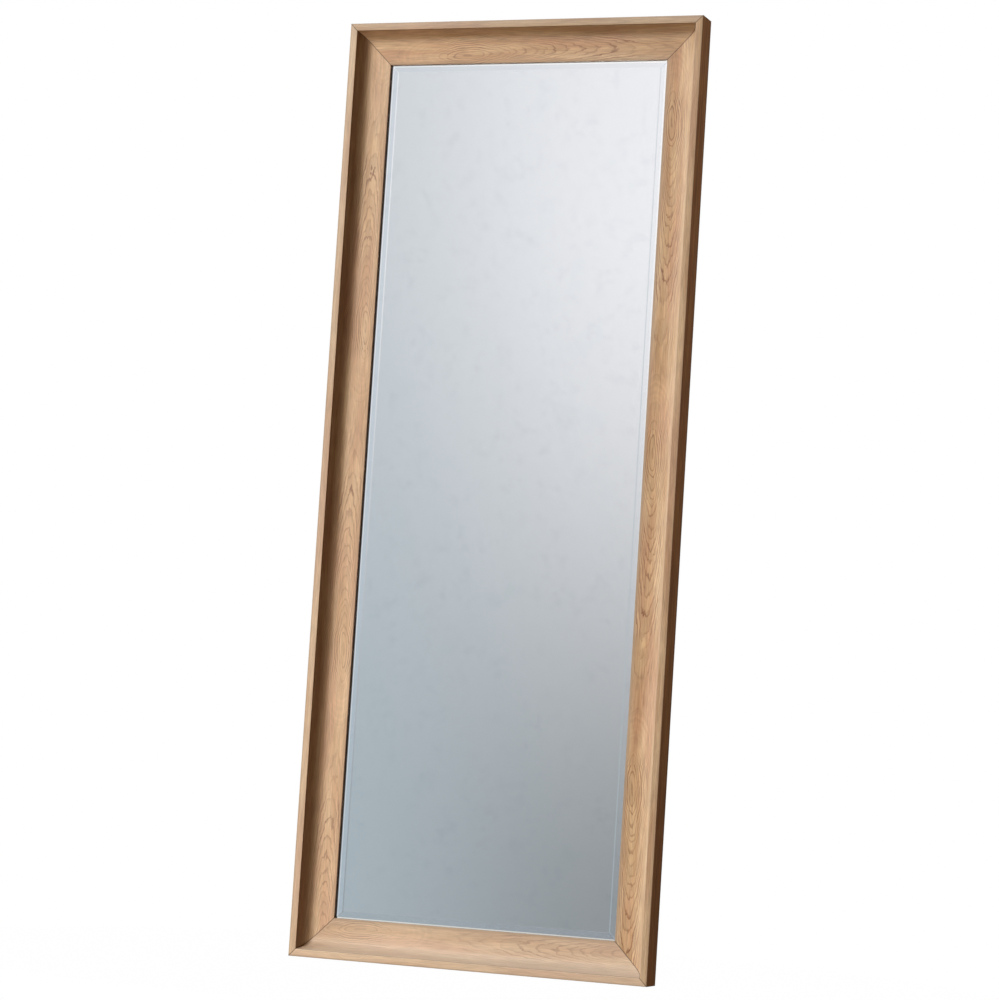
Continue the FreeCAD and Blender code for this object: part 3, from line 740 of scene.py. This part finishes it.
def foil_colour(tree, name, along, across, lines):
    """The printed colour with its pores and the member's own tones, under painted light and
    shade.
    """
    colour, shade = ring_colour(tree, name, along, across)
    out_of_border = ease(across, BORDER_LINE, BORDER_LINE + 2 * MM)
    out_of_cove = ease(across, COVE_LINE - 4 * MM, COVE_LINE + 20 * MM)
    border = mix_values(out_of_border, BORDER_PAINTED_SHADE[name], COVE_PAINTED_SHADE[name])
    length = height if name.endswith("stile") else width
    # painted light and shade: the border, cove and sight-edge tones and the change along the
    # member are multiplied into the print here
    shade = times(
        shade,
        ease(lines["Streak"], 0.36, 0.62, 0.8, 1.13),
        side_stain_and_light(tree, name, along, across),
        ease(along, 0, length, *PAINTED_LIGHT_ALONG[name]),
        mix_values(out_of_cove, border, 1),
        ease(across, BEND_LINE - 3 * MM, SIGHT_LINE - 3 * MM, 1, SIGHT_PAINTED_SHADE[name]),
    )
    colour = mix_colours(1.0, colour, vector(shade, shade, shade), "MULTIPLY")
    colour = mix_colours(times(lines["Pore"], 0.3), colour, FOIL_PORE)
    in_cove = times(minus(1, out_of_cove), out_of_border)
    # painted light on the coves that face the lamps; elsewhere the print is simply paler
    toward_cream = mix_values(in_cove, CREAM_SHARE[name], COVE_PAINTED_LIGHT[name])
    return mix_colours(toward_cream, colour, FOIL_CREAM)


print("rings are", RING_PITCH / MM, "mm apart, and", OVAL_PITCH / MM, "mm in an oval")

# %% [markdown]
# ## Wear, bare board and mitres
#
# The print isn't all that shows. The border's arris is worn pale, the outer and the sight edge
# are greyer, a line just under the border is dark, and painted shade darkens the lip beside the
# glass.
# The foil ends raggedly behind the lip and on the back, and past it the fibreboard is bare. A
# dark seam follows each mitre. These are masks on the developed section, each mixed over the
# last.

# %% The marks on the foil
FOIL_WORN = rgb("DCC6A8")
FOIL_GREY = rgb("97836D")
FOIL_DARK_LINE = rgb("5E3D1E")
LIP_PAINTED_SHADE = rgb("2A1508")
MITRE_SEAM = rgb("3A2412")
FIBREBOARD = rgb("A98A66")
FIBREBOARD_DARK = rgb("8B6C4B")
FOIL_RETURN = 7 * MM
MITRE_LINE = 0.9 * MM
RELIEF = 0.04 * MM
FOIL_SPECULAR = 0.3
TOP_ROUGHNESS = 0.9


def mitre_distance(tree):
    """How far a place lies from the nearest mitre plane."""
    x, _, z = split(object_place(tree))
    from_side = minus(width / 2, calc("ABSOLUTE", x))
    from_end = calc("MINIMUM", z, minus(height, z))
    apart = calc("ABSOLUTE", minus(from_side, from_end))
    return calc("DIVIDE", apart, math.sqrt(2))


def line_at(across, place, half_width):
    """A soft line along a member at a place on its developed section."""
    apart = calc("ABSOLUTE", minus(across, place))
    return ease(apart, half_width * 0.3, half_width, 1, 0)


def mark_foil(tree, name, along, across, colour):
    """Wears the border, greys the outer and sight edges, darkens a line under the border, paints
    shade on the lip.
    """
    from_arris = calc("ABSOLUTE", minus(across, BORDER_LINE))
    worn = use_group(tree, edge_wear, Distance=from_arris, Reach=1.6 * MM, Along=along,
                     Seed=len(name))["Mask"]
    outer = line_at(across, OUTER_LINE, 2.6 * MM)
    by_glass = line_at(across, SIGHT_LINE, 6 * MM)
    below_arris = line_at(across, BORDER_LINE + 1.6 * MM, 1.3 * MM)
    # painted shade on the lip's inner face beside the glass
    lip = ease(across, SIGHT_LINE + 0.3 * MM, SIGHT_LINE + 1.2 * MM, 0, 0.75)
    colour = mix_colours(times(worn, 0.25), colour, FOIL_WORN)
    colour = mix_colours(times(outer, 0.5), colour, FOIL_GREY)
    colour = mix_colours(times(by_glass, GREYED[name]), colour, FOIL_GREY)
    colour = mix_colours(times(below_arris, 0.6), colour, FOIL_DARK_LINE)
    return mix_colours(lip, colour, LIP_PAINTED_SHADE), worn


def bare_board(tree, uv, across):
    """Masks for the bare board, behind a ragged edge of foil, and for its flecks."""
    ragged = calc("MULTIPLY_ADD", noise(uv, scale=220, detail=4), 2 * MM, across)
    foil_end = GIRTH - FOIL_RETURN
    behind_lip = ease(ragged, LIP_LINE + 0.5 * MM, LIP_LINE + MM)
    before_return = ease(ragged, foil_end, foil_end + 0.4 * MM, 1, 0)
    fleck = noise(object_place(tree), scale=700, detail=5, roughness=0.7)
    return times(behind_lip, before_return), ease(fleck, 0.35, 0.65)


def foil_roughness(tree, lines, worn, core, dusty):
    """Satin foil, duller where it is worn or bare, and on the top, where dust has settled."""
    satin = ease(lines["Streak"], 0.2, 0.8, 0.4, 0.5)
    satin = calc("MULTIPLY_ADD", worn, 0.08, satin)
    rough = calc("MAXIMUM", satin, times(core, 0.85))
    rough = calc("MULTIPLY_ADD", dusty, 0.3, rough)
    z = split(object_place(tree))[2]
    top = ease(z, height - 0.6 * MM, height - 0.3 * MM, 0, TOP_ROUGHNESS)
    return calc("MAXIMUM", rough, top)


print("foil returns", round(FOIL_RETURN / MM), "mm round the back")

# %% One foil material for each member


def foil_material(name):
    material, tree, shader = open_material(name + "_foil")
    uv = add_node("UVMap", tree=tree, uv_map=GRAIN_MAP).outputs[0]
    along, across, _ = split(uv)
    lines = use_group(tree, fibres, Along=along, Across=across, Seed=len(name))
    colour = foil_colour(tree, name, along, across, lines)
    colour, worn = mark_foil(tree, name, along, across, colour)
    core, fleck = bare_board(tree, uv, across)
    board = mix_colours(fleck, FIBREBOARD_DARK, FIBREBOARD)
    colour = mix_colours(core, colour, board)
    seam = ease(mitre_distance(tree), 0.2 * MM, MITRE_LINE, 0.75, 0)
    colour = mix_colours(seam, colour, MITRE_SEAM)
    dusty = use_group(tree, dust, Amount=0.25)["Mask"]
    colour = mix_colours(dusty, colour, DUST_COLOUR)
    rough = foil_roughness(tree, lines, worn, core, dusty)
    relief = minus(lines["Streak"], times(lines["Pore"], 0.6))
    relief = calc("MULTIPLY_ADD", times(core, fleck), 3, relief)
    feed(shader, Base_Color=colour, Roughness=rough, Normal=bump(relief, RELIEF),
         Specular_IOR_Level=FOIL_SPECULAR)
    return material


def dress(piece, material):
    """Gives a piece one material."""
    piece.data.materials.clear()
    piece.data.materials.append(material)


for name, piece in mouldings.items():
    dress(piece, foil_material(name))
print("foil materials:", [m.name for m in bpy.data.materials if m.name.endswith("_foil")])

# %% [markdown]
# ## The bevelled glass
#
# The glass is 4 mm float glass with a flat bevel, 18 mm wide, ground and polished on all four
# sides of its face. A slab is scaled to the rim's thickness, its face is inset by the bevel's
# width and pushed forward by its drop in the same step, and the rim's edges are broken with a
# small bevel. It stops a hair before the silvering, because two faces in one plane would
# flicker.

# %% Model the glass
BEVEL_WIDTH = 18 * MM
BEVEL_DROP = 1.8 * MM
BOND_GAP = 0.03 * MM
GROUND_EDGE = 0.25 * MM

glass_low, glass_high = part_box("mirror_glass")
REBATE_GAP = glass_low.x - (stile_high.x - REBATE)


def select_faces(piece, test):
    """In edit mode, selects just the faces that pass a test."""
    bpy.ops.mesh.select_all(action="DESELECT")
    bpy.ops.mesh.select_mode(type="FACE")
    shape = bmesh.from_edit_mesh(piece.data)
    for face in filter(test, shape.faces):
        face.select = True
    bmesh.update_edit_mesh(piece.data)


def add_slab(name, low, high):
    """A block between two corners, as the start of a piece."""
    clear_selection()
    bpy.ops.mesh.primitive_cube_add(size=1, location=(low + high) / 2)
    piece = bpy.context.object
    piece.name = name
    piece.scale = high - low
    bpy.ops.object.transform_apply()
    return piece


def model_glass():
    low = glass_low + Vector((0, BEVEL_DROP, 0))
    high = glass_high - Vector((0, BOND_GAP, 0))
    piece = add_slab("bevelled_glass", low, high)
    bpy.ops.object.mode_set(mode="EDIT")
    select_faces(piece, lambda face: face.normal.y < -0.9)
    bpy.ops.mesh.inset(thickness=BEVEL_WIDTH, depth=BEVEL_DROP)
    select_faces(piece, lambda face: abs(face.normal.y) < 0.1)
    bpy.ops.mesh.bevel(offset=GROUND_EDGE, segments=2, affect="EDGES")
    bpy.ops.object.mode_set(mode="OBJECT")
    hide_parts("mirror_glass")
    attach(piece, "frame")
    return piece


glass = model_glass()
print("glass:", len(glass.data.polygons), "faces")

# %% [markdown]
# ## Clear glass and silvering
#
# A mirror is two materials, not one: clear glass in front, and a metal film behind it that
# reflects what comes through. Keeping them apart gives the bevel its true shift of the
# reflection. The glass has faint smudges in its roughness. The film is a metal on its front, a
# little uneven, and a dull protective paint on its back, and the direction of the surface tells
# the two apart. A ground rim gathers light, which shows as a thin bright line just inside the
# frame. Tracing that needs far too many samples, so a narrow strip of the film glows faintly.
# Painted reflection: the film is a little brighter behind the top bevel and darker behind the
# bottom one.

# %% The glass and silvering materials
FILM = rgb("F1F2F3")
FILM_DULL = rgb("EDEEF0")
TOP_BEVEL_REFLECTION = rgb("FEFEFF")
BOTTOM_BEVEL_REFLECTION_LEFT = rgb("D4D9DC")
BOTTOM_BEVEL_REFLECTION_RIGHT = rgb("B5BCC1")
BACKING_PAINT = rgb("5E6B6A")
BACKING_PAINT_PALE = rgb("6A7776")
GLASS_CLEAR = rgb("FEFFFF")
GLASS_SMUDGED = rgb("FCFEFE")
GLASS_IOR = 1.52
RIM_LIGHT = rgb("FFEDD6")
RIM_GLOW = 0.4
BEVEL_BLUR = 0.6 * MM

# the bright line beside the sight edge: where it starts and ends inside, and how strong it is
SIDE_LINE = (2.5 * MM, 3.6 * MM, 0.55)
TOP_LINE = (MM, 2.4 * MM, 0.5)
BOTTOM_LINE = (0.1 * MM, 1.5 * MM, 1.0)


def glass_material():
    material, tree, shader = open_material("clear_float_glass")
    place = object_place(tree)
    smudge = ease(noise(place, scale=14, detail=5, roughness=0.6), 0.5, 0.8)
    colour = mix_colours(smudge, GLASS_CLEAR, GLASS_SMUDGED)
    rough = ease(smudge, 0, 1, 0.0, 0.012)
    feed(shader, Base_Color=colour, Roughness=rough, IOR=GLASS_IOR, Transmission_Weight=1.0)
    return material


def from_sight_edge(place):
    """How far a place on the film lies inside the sight edge: at the sides, top and bottom."""
    x, _, z = split(place)
    from_side = minus(width / 2 - moulding_width, calc("ABSOLUTE", x))
    from_top = minus(height - moulding_width, z)
    from_bottom = minus(z, moulding_width)
    return x, z, from_side, from_top, from_bottom


def strip(distance, near, far, strength):
    """A soft strip between two distances from an edge."""
    inner = ease(distance, near, near + 0.5 * MM)
    outer = ease(distance, far, far + MM, strength, 0)
    return times(inner, outer)


def rim_line(place):
    """A mask for the bright line inside the sight edge, which fades low down on the right."""
    x, z, from_side, from_top, from_bottom = from_sight_edge(place)
    on_right = times(ease(z, 0.5, 1.3), 0.8)
    side_share = mix_values(ease(x, -0.1, 0.1), 1.0, on_right)
    side_line = times(strip(from_side, *SIDE_LINE), side_share)
    top_line = strip(from_top, *TOP_LINE)
    bottom_line = strip(from_bottom, *BOTTOM_LINE)
    end_line = calc("MAXIMUM", top_line, bottom_line)
    within = ease(from_side, SIDE_LINE[0], SIDE_LINE[0] + 0.5 * MM)
    return calc("MAXIMUM", side_line, times(within, end_line))


def behind_bevel(from_end, from_side):
    """A mask for the part of the film behind the bevel at the top or the bottom."""
    reach = BEVEL_WIDTH - (REBATE - REBATE_GAP)
    before_end = ease(from_end, reach - BEVEL_BLUR, reach + BEVEL_BLUR, 1, 0)
    nearer_end = minus(from_side, from_end)
    mitred = ease(nearer_end, -BEVEL_BLUR, BEVEL_BLUR)
    return times(before_end, mitred)


def film_colour(place):
    x, _, from_side, from_top, from_bottom = from_sight_edge(place)
    cloud = noise(place, scale=42, detail=6, roughness=0.65)
    film = mix_colours(ease(cloud, 0.5, 0.72), FILM, FILM_DULL)
    # painted reflection: brighter behind the top bevel, darker behind the bottom one and more so
    # on the right
    film = mix_colours(behind_bevel(from_top, from_side), film, TOP_BEVEL_REFLECTION)
    bottom = mix_colours(ease(x, -0.25, 0.25), BOTTOM_BEVEL_REFLECTION_LEFT, BOTTOM_BEVEL_REFLECTION_RIGHT)
    return mix_colours(behind_bevel(from_bottom, from_side), film, bottom)


def silvering_material():
    material, tree, shader = open_material("silvering_film")
    backward = split(add_node("NewGeometry", tree=tree).outputs["Normal"])[1]
    front_side = ease(backward, -0.6, -0.4, 1, 0)
    place = object_place(tree)
    grain = noise(place, scale=300, detail=3)
    paint = mix_colours(grain, BACKING_PAINT, BACKING_PAINT_PALE)
    colour = mix_colours(front_side, paint, film_colour(place))
    rough = calc("MULTIPLY_ADD", minus(1, front_side), 0.55, 0.015)
    gathered = times(rim_line(place), front_side)
    gathered = mix_colours(gathered, (0, 0, 0, 1), RIM_LIGHT)
    feed(shader, Base_Color=colour, Metallic=front_side, Roughness=rough,
         Emission_Color=gathered, Emission_Strength=RIM_GLOW)
    return material


dress(glass, glass_material())
dress(nodes["mirror_silvering"], silvering_material())
print("glass and silvering are dressed")

# %% [markdown]
# ## Metal fittings
#
# Braces, straps, nails and screws are zinc-plated steel: a bluish-white metal with faint
# crystals and fine scuffs. The turn buttons are brushed, and the rings are bright drawn wire.
# All of them keep their CAD shapes, which are already those of the real pieces. One function
# makes the three finishes with its own numbers each.

# %% Metal materials
METAL_STAIN = rgb("9A948A")

# pale and dark colour, least and most roughness, size of crystals, how far scuffs are drawn
ZINC = ("D2D5D6", "B9BCBB", 0.28, 0.42, 1.6 * MM, 1.5)
BRUSHED = ("CFCDC8", "BDBBB6", 0.3, 0.45, 0.8 * MM, 14)
WIRE = ("DEDDD9", "CBC9C4", 0.14, 0.26, 0.7 * MM, 4)


def metal_material(name, pale, dark, rough_low, rough_high, crystal, brush):
    """A metal with crystals and stains, and with scuffs drawn out along Z."""
    material, tree, shader = open_material(name)
    place = object_place(tree)
    cells = add_node("TexVoronoi", {"Vector": place, "Scale": 1 / crystal}, feature="F1")
    tint = calc("MULTIPLY_ADD", split(cells.outputs["Color"])[0], 0.5, 0.2)
    drawn = add_node("Mapping", {"Vector": place, "Scale": (1, 1, 1 / brush)}).outputs[0]
    scuffs = noise(drawn, scale=1500, detail=4, roughness=0.65)
    colour = mix_colours(tint, rgb(pale), rgb(dark))
    stain = ease(noise(place, scale=70, detail=3), 0.5, 0.8)
    colour = mix_colours(times(stain, 0.35), colour, METAL_STAIN)
    dusty = use_group(tree, dust, Amount=0.5)["Mask"]
    colour = mix_colours(dusty, colour, DUST_COLOUR)
    rough = ease(scuffs, 0.3, 0.7, rough_low, rough_high)
    rough = calc("MULTIPLY_ADD", stain, 0.1, rough)
    metal = minus(1, dusty)
    normal = bump(scuffs, 0.01 * MM)
    feed(shader, Base_Color=colour, Metallic=metal, Roughness=rough, Normal=normal)
    return material


zinc = metal_material("zinc_plate", *ZINC)
brushed = metal_material("brushed_button_steel", *BRUSHED)
wire = metal_material("drawn_ring_wire", *WIRE)


def dress_nodes(start, material):
    """Dresses every CAD node whose name starts so, and returns how many there are."""
    chosen = [piece for name, piece in nodes.items() if name.startswith(start)]
    for piece in chosen:
        dress(piece, material)
    return len(chosen)


for start in ("corner_brace", "hanger_s", "mitre_nails", "turn_button_screws"):
    print(start, dress_nodes(start, zinc))
for side in ("left", "right", "top", "bottom"):
    print("buttons", side, dress_nodes("turn_button_" + side, brushed))
print("rings", dress_nodes("d_ring", wire))

# %% [markdown]
# ## Board, card and rubber
#
# The back is closed by a hardboard sheet, with a packing card in front of it that keeps the
# glass from rattling. Both are pressed fibres, so both use the same flecks at different sizes,
# and the card shows its flutes as well. Bumpers, feet and setting blocks are dull black rubber
# with a skin of fine pits.

# %% Board, card and rubber materials
HARDBOARD_DARK = rgb("8C6746")
HARDBOARD_PALE = rgb("A57E58")
HARDBOARD_CLOUD = rgb("977050")
HARDBOARD_FLECK = rgb("6B4A30")
CARD_DARK = rgb("A9875F")
CARD_PALE = rgb("BE9C72")
CARD_FLUTE = rgb("94734F")
FLUTE_PITCH = 7 * MM
RUBBER_DARK = rgb("26241F")
RUBBER_PALE = rgb("37342F")


def board_material():
    material, tree, shader = open_material("hardboard")
    place = object_place(tree)
    fine = noise(place, scale=900, detail=5, roughness=0.75)
    clouds = noise(place, scale=18, detail=3)
    flecks = ease(noise(place, scale=320, detail=2), 0.62, 0.72)
    colour = mix_colours(ease(fine, 0.3, 0.7), HARDBOARD_DARK, HARDBOARD_PALE)
    colour = mix_colours(ease(clouds, 0.3, 0.7, 0, 0.35), colour, HARDBOARD_CLOUD)
    colour = mix_colours(times(flecks, 0.5), colour, HARDBOARD_FLECK)
    rough = ease(fine, 0.2, 0.8, 0.55, 0.75)
    normal = bump(fine, 0.06 * MM)
    feed(shader, Base_Color=colour, Roughness=rough, Normal=normal)
    return material


def card_material():
    material, tree, shader = open_material("corrugated_card")
    place = object_place(tree)
    flutes = calc("SINE", times(split(place)[0], 2 * math.pi / FLUTE_PITCH))
    fine = noise(place, scale=800, detail=4, roughness=0.7)
    colour = mix_colours(fine, CARD_DARK, CARD_PALE)
    tone = ease(flutes, -1, 1, 0, 0.2)
    colour = mix_colours(tone, colour, CARD_FLUTE)
    rough = ease(fine, 0.2, 0.8, 0.75, 0.92)
    relief = calc("MULTIPLY_ADD", fine, 0.3, flutes)
    feed(shader, Base_Color=colour, Roughness=rough, Normal=bump(relief, 0.1 * MM))
    return material


def rubber_material():
    material, tree, shader = open_material("moulded_rubber")
    place = object_place(tree)
    pits = noise(place, scale=1600, detail=3, roughness=0.6)
    colour = mix_colours(pits, RUBBER_DARK, RUBBER_PALE)
    dusty = use_group(tree, dust, Amount=0.6)["Mask"]
    colour = mix_colours(dusty, colour, DUST_COLOUR)
    rough = ease(pits, 0.2, 0.8, 0.6, 0.8)
    feed(shader, Base_Color=colour, Roughness=rough, Normal=bump(pits, 0.05 * MM))
    return material


dress(nodes["back_board"], board_material())
dress(nodes["packing_card"], card_material())
rubber = rubber_material()
dress(nodes["glass_setting_blocks"], rubber)
print("rubber:", dress_nodes("wall_bumper", rubber) + dress_nodes("rubber_foot", rubber) + 1)

# %% [markdown]
# ## Floor and lights
#
# The photograph is a cut-out on white, so the floor is a white disc as bright as its
# background. It takes no part in the lighting, and the glass doesn't show it, because from
# some sides a hard white disc would stand in the mirror.
#
# The key light stands high and to the left of the front. It is a sun lamp with a wide disc,
# because that is soft and equally strong from top to bottom. It leaves the left wall of the
# cove, the top wall and the right-hand side in shade. A cool lamp far to the left pales what
# faces it, the right and bottom walls. What a white studio floor throws back comes from below
# in front, and that lifts only the top wall. A lamp behind shows the fittings.

# %% Floor and lights
FLOOR_RADIUS = 0.9
FLOOR_DROP = 0.5 * MM
FLOOR_WHITE = rgb("FFFFFF")
FLOOR_PALE = rgb("FEFEFE")

# name, azimuth, elevation and width in degrees, strength, colour
LAMPS = (
    ("key", -35, 26, 17, 2.3, (1.0, 1.0, 0.99)),
    ("side_sky", -75, 38, 30, 1.8, (0.68, 0.86, 1.0)),
    ("floor_bounce", -16, -27, 14, 1.1, (1.0, 0.94, 0.84)),
    ("back_lamp", -155, 30, 20, 2.8, (1.0, 0.98, 0.95)),
)


def make_floor():
    clear_selection()
    bpy.ops.mesh.primitive_circle_add(vertices=96, radius=FLOOR_RADIUS, fill_type="NGON",
                                      location=(0, 0, -FLOOR_DROP))
    floor = bpy.context.object
    floor.name = "studio_floor"
    material, tree, shader = open_material("white_floor")
    grain = noise(object_place(tree), scale=40, detail=3)
    colour = mix_colours(grain, FLOOR_PALE, FLOOR_WHITE)
    feed(shader, Base_Color=(0, 0, 0, 1), Emission_Color=colour, Emission_Strength=1.0,
         Specular_IOR_Level=0)
    dress(floor, material)
    floor.visible_diffuse = False
    floor.visible_glossy = False
    floor.visible_transmission = False
    floor.visible_shadow = False
    return floor


def distant_lamp(name, azimuth, elevation, spread, strength, colour):
    """A lamp far away in a direction from the mirror, as wide as an angle in degrees."""
    clear_selection()
    bpy.ops.object.light_add(type="SUN", location=(0, 0, 2))
    lamp = bpy.context.object
    lamp.name = name
    way = direction(math.radians(azimuth), math.radians(elevation))
    lamp.rotation_euler = way.to_track_quat("Z", "Y").to_euler()
    lamp.data.angle = math.radians(spread)
    lamp.data.energy = strength
    lamp.data.color = colour
    return lamp


floor = make_floor()
lamps = [distant_lamp(*plan) for plan in LAMPS]
print("lights:", [lamp.name for lamp in lamps])

# %% [markdown]
# ## The surroundings
#
# What the glass shows is the world behind the camera. Soft upright gradients side by side make
# it, each pale above and grey-blue below, and steeper towards the right. A bevel is a prism that
# shows what lies six degrees further over, so past each end the gradients follow again in the
# order that suits the bevels, which are hard to see in the photograph. A plain panel stands at
# the side for views from there, and pale sky stands behind for the fittings to reflect, though
# not where the gloss of the right-hand side shows it, which has to stay dim. The camera itself
# sees white, and the dim warm light that fills the shade is another value. A Light Path node
# tells these apart, by whether a ray comes straight from the camera and whether a matt surface
# has scattered it.

# %% Make the surroundings
SHADE_LIGHT_LEFT = (0.28, 0.19, 0.115, 1)
SHADE_LIGHT_RIGHT = (0.2, 0.105, 0.042, 1)
SHADE_LIGHT_BEHIND = (0.42, 0.39, 0.36, 1)

# each gradient: colour below, colour above, from and to which height of the direction
LEFT_PANEL = ("B5C0C7", "D6DADE", -0.025, 0.23)
RIGHT_PANEL = ("969A9D", "FDFBFE", -0.062, 0.182)
LEFT_EDGE_PANEL = ("B6C2CC", "D9DEE5", -0.03, 0.2)
SIDE_PANEL = ("9FA5AA", "E4E6EA", -0.25, 0.35)
DIM_BEHIND = ("3A2E22", "9E968C", -0.2, 0.7)
PALE_BEHIND = ("8C8A86", "F2F2F0", -0.3, 0.6)
DARK_SIDE = rgb("4E4236")

# x of the directions that the glass shows from left to right, and where each end is past
GLASS_SPAN = (-0.42, -0.3)
PAST_LEFT = (-0.417, -0.405)
PAST_RIGHT = (-0.303, -0.288)


def panel_colour(z, panel):
    below, above, low, high = panel
    return mix_colours(ease(z, low, high), rgb(below), rgb(above))


def reflected_sky(x, y, z):
    """What the glass and the gloss show in each direction, and a mask for behind on the left."""
    across = ease(x, *GLASS_SPAN)
    right_share = calc("MAXIMUM", across, ease(x, *PAST_LEFT, 1, 0))
    front = mix_colours(right_share, panel_colour(z, LEFT_PANEL), panel_colour(z, RIGHT_PANEL))
    front = mix_colours(ease(x, *PAST_RIGHT), front, panel_colour(z, LEFT_EDGE_PANEL))
    side = mix_colours(ease(y, -0.4, -0.1), panel_colour(z, SIDE_PANEL), DARK_SIDE)
    sky = mix_colours(ease(x, 0.0, 0.9, 0, 0.8), front, side)
    sky = mix_colours(ease(y, -0.15, 0.25), sky, panel_colour(z, DIM_BEHIND))
    behind = ease(y, 0.1, 0.4)
    behind_left = times(behind, ease(x, -0.15, 0.1, 1, 0))
    behind_right = times(behind, ease(x, 0.6, 0.75))
    pale_share = calc("ADD", behind_left, behind_right)
    sky = mix_colours(pale_share, sky, panel_colour(z, PALE_BEHIND))
    return sky, behind_left


def make_surroundings():
    world = bpy.data.worlds.new("studio")
    bpy.context.scene.world = world
    world.use_nodes = True
    world.cycles.sampling_method = "NONE"
    tree = world.node_tree
    tree.nodes.clear()
    x, y, z = split(add_node("TexCoord", tree=tree).outputs["Generated"])
    sky, behind_left = reflected_sky(x, y, z)
    shade = mix_colours(ease(x, -0.6, 0.6), SHADE_LIGHT_LEFT, SHADE_LIGHT_RIGHT)
    shade = mix_colours(behind_left, shade, SHADE_LIGHT_BEHIND)
    paths = add_node("LightPath", tree=tree).outputs
    scattered = calc("GREATER_THAN", paths["Diffuse Depth"], 0.5)
    seen = mix_colours(scattered, sky, shade)
    seen = mix_colours(paths["Is Camera Ray"], seen, (1, 1, 1, 1))
    light = add_node("Background", {"Color": seen, "Strength": 1.0})
    add_node("OutputWorld", {"Surface": light.outputs[0]})
    return world


world = make_surroundings()
bpy.context.scene.view_settings.view_transform = "Standard"
bpy.context.scene.view_settings.look = "None"
print("surroundings:", world.name)
